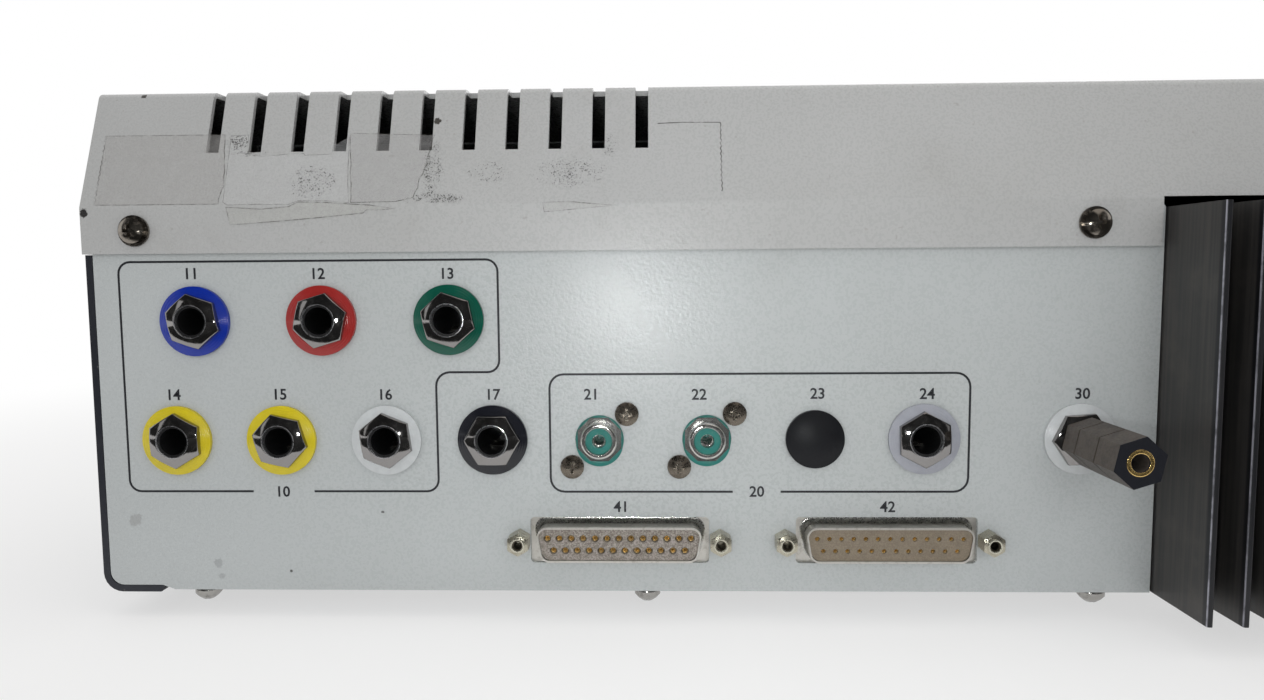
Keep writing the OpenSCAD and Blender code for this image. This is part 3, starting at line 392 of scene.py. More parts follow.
# the panel's paint made darker and less blue: painted shade on the cover, with its own dirt
coverPaintShaded = {"base": (0.405, 0.408, 0.407), "shade": (0.38, 0.382, 0.378), "grime": (0.19, 0.17, 0.145),
              "dirt": 0.1, "grain": 1.7, "relief": 0.08, "rough": 0.28}
coverMarks = [  # place, radius and colour
    (tuple(onCover(-0.7, -1.2)), 1.0, (0.03, 0.028, 0.028)),
    (tuple(onCover(9.3, 29.0)), 0.7, (0.05, 0.045, 0.04)),
    (tuple(onCover(80.4, 21.2)), 0.9, (0.06, 0.055, 0.05)),
    (tuple(onCover(151.0, -11.3)), 0.5, (0.02, 0.02, 0.02)),
]
panelPaint = {"base": (0.43, 0.452, 0.455), "shade": (0.405, 0.425, 0.425), "grime": (0.2, 0.19, 0.17),
              "dirt": 0.05, "grain": 1.7, "relief": 0.08, "rough": 0.28}
panelMarks = [(tuple(onRear(u, v).translation), radius, colour) for u, v, radius, colour in [
    (26.5, 6.6, 1.1, (0.33, 0.345, 0.35)),
    (27.2, 3.4, 0.8, (0.34, 0.355, 0.36)),
    (6.9, 17.0, 1.6, (0.34, 0.35, 0.35)),
    (96.5, 11.5, 1.3, (0.35, 0.36, 0.365)),
    (103.5, 9.0, 1.0, (0.34, 0.35, 0.355)),
    (66.5, 19.0, 0.4, (0.1, 0.1, 0.1)),
    (44.0, 4.6, 0.35, (0.06, 0.06, 0.06)),
    (113.0, 87.0, 0.3, (0.05, 0.05, 0.05)),
]]
darkPaint = {"base": (0.012, 0.014, 0.022), "shade": (0.017, 0.019, 0.027), "grime": (0.09, 0.085, 0.08),
             "dirt": 0.25, "grain": 1.6, "relief": 0.05, "rough": 0.45}

dress(paintFinish("coverPaintShaded", coverPaintShaded, coverMarks), "top_cover")
dress(paintFinish("panelPaint", panelPaint, panelMarks), "connector_panel", "mains_panel")
dress(paintFinish("deskPaint", dict(panelPaint, dirt=0.08)), "control_panel")
dress(paintFinish("cheekPaint", darkPaint), "left_cheek", "right_cheek", "front_rail")


# the tip colour is painted shade on the fin tips, and the glint colour is a painted highlight along their
# corners
sink = {"firstU": 247.0, "pitch": 7.5, "halfT": 0.65, "depth": 21.5, "dark": (0.04, 0.039, 0.039),
        "pale": (0.076, 0.071, 0.067), "dust": (0.1, 0.09, 0.08), "tip": (0.008, 0.009, 0.013),
        "glint": (0.42, 0.42, 0.48), "metal": 0.35}


def anodisedFinish():
    made = Finish("anodised")
    streak = made.noise(1.0, 5, 0.6, stretch=(0.9, 0.9, 0.02))
    blotch = made.noise(0.06, 4, 0.6, shift=22)
    shade = made.blend(made.limit(streak, 0.35, 0.7), sink["dark"], sink["pale"])
    shade = made.blend(made.limit(blotch, 0.5, 0.75) * 0.5, shade, sink["dust"])
    out = made.axis("Y") - (case["rearY"] + sink["depth"])
    # painted shade: the last two millimetres of each fin, round its rounded tip, are darkened
    tip = made.limit(out, -2.2, -1.4)
    shade = made.blend(tip * 0.8, shade, sink["tip"])
    # painted highlight: a bright line along one corner of each fin tip, broken in places
    along = case["edgeX"] - made.axis("X") - (sink["firstU"] - sink["pitch"] / 2)
    across = made.sum("MODULO", along, sink["pitch"]) - sink["pitch"] / 2
    corner = made.limit(across, -sink["halfT"] - 0.02, -sink["halfT"] + 0.22, 1.0, 0.0)
    corner = corner * made.limit(out, -0.6, -0.4)
    glintBreaks = made.limit(made.noise(0.25, 3, 0.6, shift=3), 0.3, 0.6, 0.35, 1.0)
    shade = made.blend(corner * glintBreaks, shade, sink["glint"])
    return made.close(colour=shade, roughness=made.limit(streak, 0.3, 0.7, 0.34, 0.5), metallic=sink["metal"],
                      normal=made.bump(streak, 0.02, 0.5))


dress(anodisedFinish(), "heat_sink")

metals = {
    "traySteel": dict(nodes=["base_tray"], base=(0.42, 0.42, 0.42), rough=0.38, wear=0.2, grain=0.2, pits=0.02),
    "screwSteel": dict(nodes=["cover_screws"], base=(0.26, 0.235, 0.205), rough=0.17,
                       tarnish=(0.07, 0.05, 0.035), wear=0.5),
    "dullScrewSteel": dict(nodes=["phono_screws"], base=(0.2, 0.175, 0.145), rough=0.26,
                           tarnish=(0.06, 0.04, 0.025), wear=0.6),
    "nickel": dict(nodes=["phono_shells", "inlet_pins"], base=(0.66, 0.65, 0.63), rough=0.16, wear=0.12),
    "tin": dict(nodes=["dsub_shells"], base=(0.6, 0.58, 0.54), rough=0.38, tarnish=(0.22, 0.19, 0.15), wear=0.4,
                grain=1.2, pits=0.006),
    "yellowZinc": dict(nodes=["jackscrews"], base=(0.5, 0.47, 0.38), rough=0.3, tarnish=(0.2, 0.17, 0.11),
                       wear=0.4),
    "controlSteel": dict(nodes=["rotary_controls"], base=(0.5, 0.5, 0.5), rough=0.28),
}

washer = {"dome": 0.0356, "grooves": 11.0, "grooveDepth": 0.012, "rough": 0.2}
washers = {  # colour, node and places
    "bluePlastic": ((0.001, 0.022, 0.3), "blue_washer", [(23.9, 64.4)]),
    "redPlastic": ((0.31, 0.018, 0.016), "red_washer", [(53.7, 64.4)]),
    "greenPlastic": ((0.001, 0.078, 0.049), "green_washer", [(83.5, 64.4)]),
    "yellowPlastic": ((0.62, 0.5, 0.012), "yellow_washers", [(18.3, 36.3), (43.25, 36.3)]),
    "clearPlastic": ((0.54, 0.56, 0.57), "clear_washers", [(68.2, 36.3), (228.3, 36.3)]),
    "blackWasherPlastic": ((0.009, 0.01, 0.015), "black_washer", [(93.15, 36.3)]),
    "greyPlastic": ((0.33, 0.34, 0.38), "grey_washer", [(192.95, 36.3)]),
}


def washerFinish(name, base, spots):  # moulded a little domed, with fine turned grooves
    made = Finish(name)
    flat = made.node("VectorMath", {"operation": "MULTIPLY"}, {0: made.at, 1: (1.0, 0.0, 1.0)})
    near = None
    for u, v in spots:
        away = made.away((case["edgeX"] - u, 0.0, case["footH"] + v), flat)
        near = away if near is None else made.sum("MINIMUM", near, away)
    wave = made.node("Math", {"operation": "SINE"}, {0: near * washer["grooves"]})
    fall = near * near * -washer["dome"] + wave * washer["grooveDepth"]
    shade = made.tint(base, made.limit(made.noise(0.5, 3, 0.6), 0.3, 0.7, 0.92, 1.0))
    return made.close(colour=shade, roughness=washer["rough"], normal=made.bump(fall, 1.0, 1.0))


for name, (base, node, spots) in washers.items():
    dress(washerFinish(name, base, spots), node)

adapter = {"side": (0.03, 0.027, 0.026), "dust": (0.1, 0.083, 0.07), "end": (0.008, 0.009, 0.014),
           "endFrom": 27.1, "endTo": 27.25}


def adapterFinish():  # lighter and browner along its sides, darker at its end face
    made = Finish("adapterPlastic")
    dust = made.limit(made.noise(0.45, 4, 0.7, shift=30), 0.25, 0.65, 0.35, 0.9)
    end = made.limit(made.axis("Y"), case["rearY"] + adapter["endFrom"], case["rearY"] + adapter["endTo"])
    shade = made.blend(end, made.blend(dust, adapter["side"], adapter["dust"]), adapter["end"])
    skin = made.noise(2.0, 3, 0.6)
    return made.close(colour=shade, specular=0.3, roughness=made.limit(skin, 0.3, 0.7, 0.4, 0.55),
                      normal=made.bump(skin, 0.04, 0.5))


dress(adapterFinish(), "monitor_adapter")

plastics = {
    "jackPlastic": dict(nodes=["jack_sockets"], base=(0.012, 0.012, 0.013), rough=0.4),
    "tealPlastic": dict(nodes=["phono_insulators"], base=(0.008, 0.17, 0.143), rough=0.32, dust=0.1),
    "capPlastic": dict(nodes=["microphone_blank"], base=(0.006, 0.0065, 0.009), rough=0.45, grain=1.5,
                       relief=0.09, specular=0.3),
    "mouldedBlack": dict(nodes=["mains_inlet", "fuse_holders", "switch_housing", "power_transistors"],
                         base=(0.014, 0.014, 0.015), rough=0.36, grain=2.2, relief=0.02),
    "rockerBlack": dict(nodes=["mains_rocker"], base=(0.011, 0.011, 0.012), rough=0.22),
    "rubber": dict(nodes=["rubber_feet"], base=(0.02, 0.02, 0.02), rough=0.75, grain=1.2, relief=0.05,
                   dust=0.3),
    "knobPlastic": dict(nodes=["attenuator_dial_left", "attenuator_dial_right", "level_knob_left",
                               "level_knob_right"],
                        base=(0.03, 0.031, 0.034), rough=0.45, grain=2.4, relief=0.03),
    "keyPlastic": dict(nodes=["tone_bar_left", "tone_bar_right", "frequency_key_down", "frequency_key_up"],
                       base=(0.47, 0.47, 0.45), rough=0.42, grain=2.6, relief=0.02),
    "functionPlastic": dict(nodes=["function_key_%d" % count for count in range(1, 9)], base=(0.1, 0.13, 0.18),
                            rough=0.42, grain=2.6, relief=0.02),
    "displayFace": dict(nodes=["display_module"], base=(0.02, 0.035, 0.03), rough=0.5),
}
for makeFinish, table in ((metalFinish, metals), (plasticFinish, plastics)):
    for name, settings in table.items():
        nodes = settings.pop("nodes")
        dress(makeFinish(name, **settings), *nodes)


def boardFinish():
    made = Finish("solderResist")
    ways = made.node("TexBrick", {"offset": 0.4, "squash": 1.4}, {
        "Vector": made.at, "Scale": 0.11, "Color1": (0.006, 0.09, 0.03), "Color2": (0.008, 0.11, 0.038),
        "Mortar": (0.03, 0.2, 0.075), "Mortar Size": 0.03, "Brick Width": 1.4, "Row Height": 0.4})
    blot = made.limit(made.noise(0.3, 3, 0.6), 0.35, 0.7)
    return made.close(colour=made.blend(blot * 0.3, ways, (0.004, 0.05, 0.02)), roughness=0.35,
                      normal=made.bump(made.noise(1.5, 2), 0.01, 0.5))


def layeredFinish(name, base, line, pitch, axis, rough):
    made = Finish(name)
    wave = made.node("TexWave", {"wave_type": "BANDS", "bands_direction": axis},
                     {"Vector": made.at, "Scale": 0.314 / pitch, "Distortion": 0.4, "Detail": 1.0,
                      "Detail Scale": 0.3})
    shade = made.blend(made.limit(wave, 0.2, 0.9), line, base)
    return made.close(colour=shade, roughness=rough, normal=made.bump(wave, 0.05, 0.7))


def glassFinish():
    made = Finish("smokedGlass")
    smear = made.limit(made.noise(0.03, 4, 0.6), 0.4, 0.75, 0.05, 0.13)
    return made.close(colour=(0.012, 0.014, 0.014), roughness=smear, alpha=0.55, coat=0.6, coatRoughness=0.04)


dress(boardFinish(), "connector_board", "main_board", "key_board")
laminations = dict(base=(0.11, 0.11, 0.12), line=(0.04, 0.04, 0.045), pitch=0.9, axis="Y", rough=0.45)
winding = dict(base=(0.5, 0.36, 0.1), line=(0.32, 0.22, 0.06), pitch=6.0, axis="Z", rough=0.4)
dress(layeredFinish("laminations", **laminations), "transformer_core")
dress(layeredFinish("tapedWinding", **winding), "transformer_coil")
dress(glassFinish(), "display_window")
print("nodes dressed")


def inkFinish(name, base, worn):
    made = Finish(name)
    gaps = made.limit(made.noise(1.8, 3, 0.7), 0.28, 0.4, worn, 0.0)
    return made.close(colour=base, roughness=0.5, alpha=1.0 - gaps)


# lines and numbers on the rear panel

rearPrint = {
    "ink": (0.012, 0.013, 0.018),
    "line": 0.5,
    "outputFrame": [(5.8, 23.7, 3), (80.3, 23.7, 3), (80.3, 51.9, 3), (95.2, 51.9, 3), (95.2, 78.5, 3),
                    (5.8, 78.5, 3)],
    "outputGap": (23.7, 35.8, 50.4),
    "inputFrame": [(106.3, 23.6, 3.5), (203.6, 23.6, 3.5), (203.6, 51.8, 3.5), (106.3, 51.8, 3.5)],
    "inputGap": (23.6, 149.1, 160.2),
    "height": 2.6,
    "worn": 0.25,
    "numbers": [("11", 23.2, 75.5), ("12", 53.3, 75.3), ("13", 83.4, 75.1), ("14", 17.9, 47.1),
                ("15", 43.2, 47.1), ("16", 68.2, 47.0), ("17", 93.6, 46.9), ("21", 116.0, 46.9),
                ("22", 141.3, 46.8), ("23", 168.5, 46.9), ("24", 193.6, 46.8), ("30", 228.8, 46.7),
                ("10", 43.1, 23.9), ("20", 154.7, 23.9), ("41", 122.7, 20.3), ("42", 185.0, 20.3)],
}

ink = inkFinish("rearInk", rearPrint["ink"], rearPrint["worn"])
lines = bmesh.new()
joinInto(lines, frameLine(rearPrint["outputFrame"], rearPrint["line"], rearPrint["outputGap"]))
joinInto(lines, frameLine(rearPrint["inputFrame"], rearPrint["line"], rearPrint["inputGap"]))
move(lines, onRear(0, 0))
addPiece("rear_frame_lines", lines, ink)
numbers = bmesh.new()
for text, u, v in rearPrint["numbers"]:
    joinInto(numbers, numberShape(text, rearPrint["height"]), onRear(u, v))
addPiece("rear_numbers", numbers, ink)
print("rear prints made")

# springs, nuts, connectors and the adapter's end

jackSpots = [(23.9, 64.4), (53.7, 64.4), (83.5, 64.4), (18.3, 36.3), (43.25, 36.3), (68.2, 36.3), (93.15, 36.3),
             (192.95, 36.3)]
leaf = {"width": 3.0, "thick": 0.3, "turn": -94, "varies": 7,
        "path": [(3.0, -22.0), (2.8, -13.5), (2.3, -9.6), (2.1, -8.4), (2.85, -6.0)]}
nut = {"across": 11.4, "hole": 3.65, "bore": 4.25, "base": 1.0, "top": 3.667, "dome": 14.5, "lip": 0.8,
       "edge": 0.12, "rim": 0.24, "steps": 72, "rings": 9, "turns": (41, 17, 42, 31, 47, 38, 0, 32, 4)}
monitorSpot = (228.3, 36.3)


def leafShape(settings):
    shape = bmesh.new()
    half = settings["width"] / 2
    x, z = settings["path"][0]
    edge = shape.edges.new([shape.verts.new((x, -half, z)), shape.verts.new((x, half, z))])
    for x1, z1 in settings["path"][1:]:
        grown = bmesh.ops.extrude_edge_only(shape, edges=[edge])["geom"]
        edge = [e for e in grown if isinstance(e, bmesh.types.BMEdge)][0]
        bmesh.ops.translate(shape, vec=(x1 - x, 0, z1 - z), verts=list(edge.verts))
        x, z = x1, z1
    bmesh.ops.recalc_face_normals(shape, faces=shape.faces)
    bmesh.ops.solidify(shape, geom=shape.faces[:], thickness=settings["thick"])
    return outward(shape)


springs = bmesh.new()
for count, (u, v) in enumerate(jackSpots):
    turn = math.radians(leaf["turn"] + leaf["varies"] * (count % 3))
    joinInto(springs, leafShape(leaf), onRear(u, v) @ Matrix.Rotation(turn, 4, "Z"))
addPiece("jack_contacts", springs, metalFinish("contactSteel", base=(0.8, 0.77, 0.7), rough=0.2))


def nutShape(settings):  # a hexagon with a domed front, its edges and its hole's rim eased
    hole, bore, base, edge, lip = (settings[key] for key in ("hole", "bore", "base", "edge", "lip"))

    def rise(r):
        return settings["top"] - settings["dome"] + math.sqrt(settings["dome"] ** 2 - r * r)

    def crown(share):  # a ring on the dome, 0 at its outer edge and 1 at the hole
        def ring(reach):
            r = reach - edge + (hole + settings["rim"] - reach + edge) * share
            return r, rise(r)
        return ring

    rings = [lambda reach: (bore, base), lambda reach: (reach, base), lambda reach: (reach, rise(reach) - edge),
             lambda reach: (reach - edge * 0.3, rise(reach) - edge * 0.3)]
    rings += [crown(count / (settings["rings"] - 1)) for count in range(settings["rings"])]
    rimFrom = len(rings)
    rings += [lambda reach: (hole + 0.07, rise(hole) - 0.05), lambda reach: (hole, rise(hole) - 0.17)]
    rimTo = len(rings)
    rings += [lambda reach: (hole, rise(hole) - lip), lambda reach: (bore, rise(hole) - lip)]
    shape = bmesh.new()
    bmesh.ops.create_circle(shape, segments=settings["steps"], radius=bore)
    bmesh.ops.translate(shape, vec=(0, 0, base), verts=shape.verts)
    first = shape.edges[:]
    ring = first
    for count, place in enumerate(rings[1:], 1):
        grown = bmesh.ops.extrude_edge_only(shape, edges=ring)["geom"]
        ring = [e for e in grown if isinstance(e, bmesh.types.BMEdge) and len(e.link_faces) == 1]
        for spot in {v for e in ring for v in e.verts}:
            angle = math.atan2(spot.co.y, spot.co.x)
            r, z = place(settings["across"] / 2 / math.cos(angle % (math.pi / 3) - math.pi / 6))
            spot.co = (r * math.cos(angle), r * math.sin(angle), z)
        # the faces of the hole's rim take the second metal, a painted highlight ring
        for each in grown:
            if isinstance(each, bmesh.types.BMFace) and rimFrom <= count < rimTo:
                each.material_index = 1
    bmesh.ops.bridge_loops(shape, edges=first + ring)
    return outward(shape)


nuts = bmesh.new()
for (u, v), turn in zip(jackSpots + [monitorSpot], nut["turns"]):
    joinInto(nuts, nutShape(nut), onRear(u, v) @ Matrix.Rotation(math.radians(turn), 4, "Z"))
chrome = metalFinish("chrome", base=(0.3, 0.29, 0.285), rough=0.07, wear=0.1, pits=0.008, grain=2.2)
# a brighter, rougher metal for the nuts' hole rims: a painted highlight ring
rimHighlightChrome = metalFinish("rimHighlightChrome", base=(0.62, 0.62, 0.64), rough=0.3, wear=0.3, grain=2.0)
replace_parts(addPiece("jack_nut_set", nuts, [chrome, rimHighlightChrome], smooth=28), "jack_nuts")

# the two connectors differ a little, so wells, sunk, outer and bore hold one number for each
connector = {"spots": [(122.6, 12.3), (184.8, 12.3)], "halfW": 19.48, "halfH": 4.18, "corner": 2.4,
             "slant": 10, "wall": 0.5, "fit": 0.05, "panelT": 1.0, "flangeT": 0.8, "front": 4.05, "faceT": 3.2,
             "block": (40.0, 10.6, 11.0), "blockEdge": 0.3, "pitch": 2.77, "row": 1.42, "wells": [0.88, 0.56],
             "sunk": [0.45, 0.5], "screwOut": 23.52}
socket = {"outer": [0.66, 0.54], "bore": [0.24, 0.22], "depth": 3.0, "tail": 0.45, "back": 30.0, "lip": 0.06,
          "steps": 14}
flare = [(1.15, -1.0), (0.95, -0.98), (0.66, -0.88), (0.4, -0.68), (0.2, -0.36), (0.07, 0.1), (0.0, 0.6),
         (-0.06, 0.6), (-0.06, -1.0)]  # how far out from the shell, and height


def mouthOutline(grow):
    halfH, top = connector["halfH"] + grow, connector["halfW"] + grow
    bottom, r = top - 2 * halfH * math.tan(math.radians(connector["slant"])), connector["corner"] + grow
    return outlineFace([(-bottom, -halfH, r), (bottom, -halfH, r), (top, halfH, r), (-top, halfH, r)])


def contactSpots():
    upper = [(count * connector["pitch"], connector["row"]) for count in range(-6, 7)]
    return upper + [((count + 0.5) * connector["pitch"], -connector["row"]) for count in range(-6, 6)]


def plateShape(outline, holes, thick, steps=20):  # a flat sheet with round holes, its face at z = 0
    path = bpy.data.curves.new("plate", "CURVE")
    path.dimensions = "2D"
    path.fill_mode = "BOTH"
    path.extrude = thick / 2
    loops = [[tuple(v.co) for v in outline.faces[:][0].verts]]
    loops += [[(x + r * math.cos(2 * math.pi * k / steps), y + r * math.sin(2 * math.pi * k / steps), 0)
               for k in range(steps)] for x, y, r in holes]
    outline.free()
    for loop in loops:
        addSpline(path, loop, True)
    shape = shapeOf(path)
    bmesh.ops.translate(shape, vec=(0, 0, -thick / 2), verts=shape.verts)
    return outward(shape)


def insulatorShape(settings, kind):
    inside = -settings["wall"] - settings["fit"]
    holes = [(x, y, settings["wells"][kind]) for x, y in contactSpots()]
    front, back = settings["front"], -settings["panelT"] - settings["flangeT"]
    shape = plateShape(mouthOutline(inside), holes, settings["faceT"])
    bmesh.ops.translate(shape, vec=(0, 0, front), verts=shape.verts)
    joinInto(shape, plateShape(mouthOutline(inside), [], front - settings["faceT"] - back),
             Matrix.Translation((0, 0, front - settings["faceT"])))
    block = bmesh.new()
    bmesh.ops.create_cube(block, size=1.0)
    bmesh.ops.scale(block, vec=settings["block"], verts=block.verts)
    bmesh.ops.bevel(block, geom=block.edges[:], offset=settings["blockEdge"], offset_type="OFFSET",
                    affect="EDGES", segments=2, profile=0.5, material=-1)
    joinInto(shape, block, Matrix.Translation((0, 0, back - settings["block"][2] / 2)))
    for each in shape.faces:
        each.material_index = kind
    return shape


def socketShape(settings, kind, top):
    outer, bore = settings["outer"][kind], settings["bore"][kind]
    shape = bmesh.new()
    tail, back, lip, floor = settings["tail"], -settings["back"], settings["lip"], top - settings["depth"]
    corners = [(0, back), (tail, back), (tail, 0.2), (outer, 0.5), (outer, top - lip), (outer - lip, top),
               (bore, top - (outer - bore)), (bore, floor), (0, floor - 0.2)]
    spots = [shape.verts.new((r, 0, z)) for r, z in corners]
    for a, b in zip(spots, spots[1:]):
        shape.edges.new((a, b))
    return turned(shape, settings["steps"])


def flareShape(rings):  # the drawn curve where a shell rises from its flange
    shape = bmesh.new()
    loops = []
    for grow, z in rings:
        ring = mouthOutline(grow)
        bmesh.ops.delete(ring, geom=ring.faces[:], context="FACES_ONLY")
        known = len(shape.edges)
        joinInto(shape, ring, Matrix.Translation((0, 0, z)))
        shape.edges.ensure_lookup_table()
        loops.append(list(range(known, len(shape.edges))))
    for a, b in zip(loops, loops[1:] + loops[:1]):
        shape.edges.ensure_lookup_table()
        bmesh.ops.bridge_loops(shape, edges=[shape.edges[k] for k in a + b])
    return outward(shape)


def speckledFinish(name, dark, pale, share):
    made = Finish(name)
    grains = made.limit(made.noise(3.2, 3, 0.75), 0.4, 0.62) * share
    stain = made.limit(made.noise(0.5, 3, 0.6, shift=8), 0.45, 0.7) * 0.3
    shade = made.blend(stain, made.blend(grains, dark, pale), (0.12, 0.1, 0.07))
    return made.close(colour=shade, roughness=0.5, normal=made.bump(grains, 0.03, 0.6))


insulators, sockets, flares = bmesh.new(), bmesh.new(), bmesh.new()
for kind, (u, v) in enumerate(connector["spots"]):
    joinInto(insulators, insulatorShape(connector, kind), onRear(u, v))
    top = connector["front"] - connector["sunk"][kind]
    for x, y in contactSpots():
        joinInto(sockets, socketShape(socket, kind, top), onRear(u + x, v + y))
    joinInto(flares, flareShape(flare), onRear(u, v))
beige = [speckledFinish("speckledBeige", dark=(0.13, 0.105, 0.085), pale=(0.34, 0.31, 0.28), share=1.0),
         speckledFinish("plainBeige", dark=(0.16, 0.125, 0.085), pale=(0.24, 0.2, 0.15), share=0.7)]
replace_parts(addPiece("dsub_insulator_set", insulators, beige), "dsub_insulators")
giltSocket = metalFinish("giltSocket", base=(0.9, 0.74, 0.47), rough=0.24, tarnish=(0.3, 0.2, 0.1), wear=0.3)
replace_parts(addPiece("dsub_socket_set", sockets, giltSocket, smooth=40), "dsub_pins")
drawnTin = metalFinish("drawnTin", base=(0.5, 0.49, 0.46), rough=0.26, tarnish=(0.2, 0.18, 0.14), wear=0.4)
addPiece("dsub_flares", flares, drawnTin, smooth=50)

# a bright rim and a thread in each jackscrew, the thread near-black as painted shade in the hole: outer and
# inner radius, length, steps, lip and height
jackscrew = {"rim": (1.72, 1.21, 0.5, 40, 0.1), "rimOut": 4.44, "thread": (1.19, 0.92, 4.1, 32, 0.06),
             "threadOut": 0.45}
rims, threads = bmesh.new(), bmesh.new()
for u, v in connector["spots"]:
    for side in (-1, 1):
        across = u + side * connector["screwOut"]
        joinInto(rims, tubeShape(*jackscrew["rim"]), onRear(across, v, jackscrew["rimOut"]))
        joinInto(threads, tubeShape(*jackscrew["thread"]), onRear(across, v, jackscrew["threadOut"]))
rimZinc = metalFinish("rimZinc", base=(0.62, 0.6, 0.5), rough=0.24, tarnish=(0.3, 0.26, 0.17), wear=0.3)
addPiece("jackscrew_rims", rims, rimZinc, smooth=40)
# near-black metal: painted shade in the threaded hole
threadShadeSteel = metalFinish("threadShadeSteel", base=(0.07, 0.06, 0.045), rough=0.45, wear=0.6)
addPiece("jackscrew_threads", threads, threadShadeSteel, smooth=40)

phono = {"spots": [(118.1, 36.3), (143.05, 36.3)], "sleeve": (1.58, 1.2, 9.0, 32, 0.08), "sleeveOut": -7.6,
         "skirt": (5.5, 4.4, 0.3, 64, 0.1), "skirtDrop": 0.9}
sleeves, skirts = bmesh.new(), bmesh.new()
for u, v in phono["spots"]:
    joinInto(sleeves, tubeShape(*phono["sleeve"]), onRear(u, v, phono["sleeveOut"]))
    joinInto(skirts, tubeShape(*phono["skirt"]), onRear(u, v - phono["skirtDrop"]))
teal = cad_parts["phono_insulators"].material_slots[0].material
addPiece("phono_skirts", skirts, teal, smooth=40)
phonoContact = metalFinish("phonoContact", base=(0.55, 0.53, 0.5), rough=0.25)
addPiece("phono_contacts", sleeves, phonoContact, smooth=40)

adapterEnd = {"reach": 27.3, "outer": 2.9, "bore": 1.82, "length": 0.8, "steps": 64, "lip": 0.36, "proud": 0.1}
ring = tubeShape(*(adapterEnd[key] for key in ("outer", "bore", "length", "steps", "lip")))
move(ring, onRear(*monitorSpot, adapterEnd["reach"] - adapterEnd["length"] + adapterEnd["proud"]))
polishedGilt = metalFinish("polishedGilt", base=(0.92, 0.64, 0.24), rough=0.24, wear=0.15)
addPiece("adapter_contact_ring", ring, polishedGilt, "monitor_adapter", smooth=40)


def longHeads(node, stretch):  # a copy of the screws under the rear edge with taller heads
    heads = bmesh.new()
    heads.from_mesh(node.data)
    bmesh.ops.scale(heads, vec=(1000, 1000, 1000), verts=heads.verts)
    bmesh.ops.remove_doubles(heads, verts=heads.verts, dist=1e-3)
    low = [v for v in heads.verts if v.co.z < case["footH"] and v.co.y > case["rearY"] - 10]
    bmesh.ops.scale(heads, vec=(1, 1, stretch), space=Matrix.Translation((0, 0, -case["footH"])), verts=low)
    return heads


baseScrews = longHeads(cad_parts["base_screws"], stretch=1.8)
steel = metalFinish("baseScrewSteel", base=(0.4, 0.39, 0.37), rough=0.2, tarnish=(0.07, 0.06, 0.05), wear=0.45)
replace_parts(addPiece("base_screw_set", baseScrews, steel, smooth=35), "base_screws")
print("contacts made")

# old tape on the cover

tape = {"toothPitch": 0.66, "tooth": 0.28, "edge": (0.1, 0.092, 0.08), "dirt": (0.06, 0.056, 0.05),
        "flapLift": 0.1, "flapWave": 0.35}
films = {  # piece: material, colour, opacity and how mottled
    "tape_film_left": ("tapeFilm", (0.5, 0.485, 0.475), 0.24, 0.06),
    "tape_film_right": ("tapeFilmRight", (0.53, 0.52, 0.52), 0.2, 0.05),
    "tape_residue": ("tapeResidue", (0.82, 0.83, 0.84), 0.1, 0.04),
    "tape_flap": ("tapeFlapFilm", (0.6, 0.6, 0.56), 0.2, 0.03),
    "tape_scrap": ("tapeScrapFilm", (0.62, 0.61, 0.58), 0.12, 0.03),
}
dirtPatches = [  # middle u, middle w, half width, half height, share
    (33.9, 16.3, 3.2, 2.4, 1.0), (52.0, 6.0, 6.5, 4.6, 0.75), (80.2, 9.0, 2.6, 8.0, 0.85),
    (81.0, 1.2, 7.5, 2.2, 1.0), (112.0, 7.5, 11.0, 4.5, 0.6), (121.0, 14.5, 2.2, 3.5, 0.6),
    (93.0, 8.0, 6.0, 3.0, 0.45), (37.0, 13.5, 5.0, 1.0, 0.6),
]
dice = random.Random(7)


def teeth(u, w0, w1, way):  # the saw-tooth cut of a tape dispenser
    count = int(abs(w1 - w0) / tape["toothPitch"])
    return [(u + way * (tape["tooth"] if i % 2 else 0) + dice.uniform(-0.05, 0.05), w0 + (w1 - w0) * i / count)
            for i in range(count + 1)]


def torn(a, b, count, amount):  # a ragged line between two points
    spots = []
    for i in range(count + 1):
        share = i / count
        fade = 0 if i in (0, count) else amount
        spots.append((a[0] + (b[0] - a[0]) * share + dice.uniform(-fade, fade),
                      a[1] + (b[1] - a[1]) * share + dice.uniform(-fade, fade)))
    return spots


def filmShape(outline, lift, edge):
    shape = bmesh.new()
    face = shape.faces.new([shape.verts.new((u, w, 0)) for u, w in outline])
    shape.normal_update()
    bmesh.ops.inset_region(shape, faces=[face], thickness=edge, use_boundary=True, use_even_offset=False)
    for each in shape.faces:
        each.material_index = 0 if each == face else 1
    for w in (-0.4, -0.2, 0.0, 0.2, 0.4):  # so that it can bend over the fold
        cut(shape, (0, w, 0), (0, 1, 0))
    bmesh.ops.triangulate(shape, faces=shape.faces[:])
    for spot in shape.verts:
        rise = lift(spot.co.x, spot.co.y) if callable(lift) else lift
        spot.co = onCover(spot.co.x, spot.co.y, rise)
    outward(shape)
    if sum(f.normal.y for f in shape.faces) < 0:
        bmesh.ops.reverse_faces(shape, faces=shape.faces)
    return shape


def filmFinish(name, colour, clear, mottled):
    made = Finish(name)
    mist = made.limit(made.noise(0.35, 4, 0.6), 0.3, 0.75, -mottled, mottled)
    crease = made.noise(0.5, 3, 0.6, stretch=(1, 1, 3))
    return made.close(colour=colour, roughness=made.limit(crease, 0.3, 0.7, 0.22, 0.4), alpha=mist + clear,
                      normal=made.bump(crease, 0.05, 0.5))


def edgeFinish():
    made = Finish("tapeEdgeDirt")
    broken = made.limit(made.noise(0.5, 3, 0.7, shift=5), 0.35, 0.62, 0.12, 0.6)
    return made.close(colour=tape["edge"], roughness=0.6, alpha=broken)


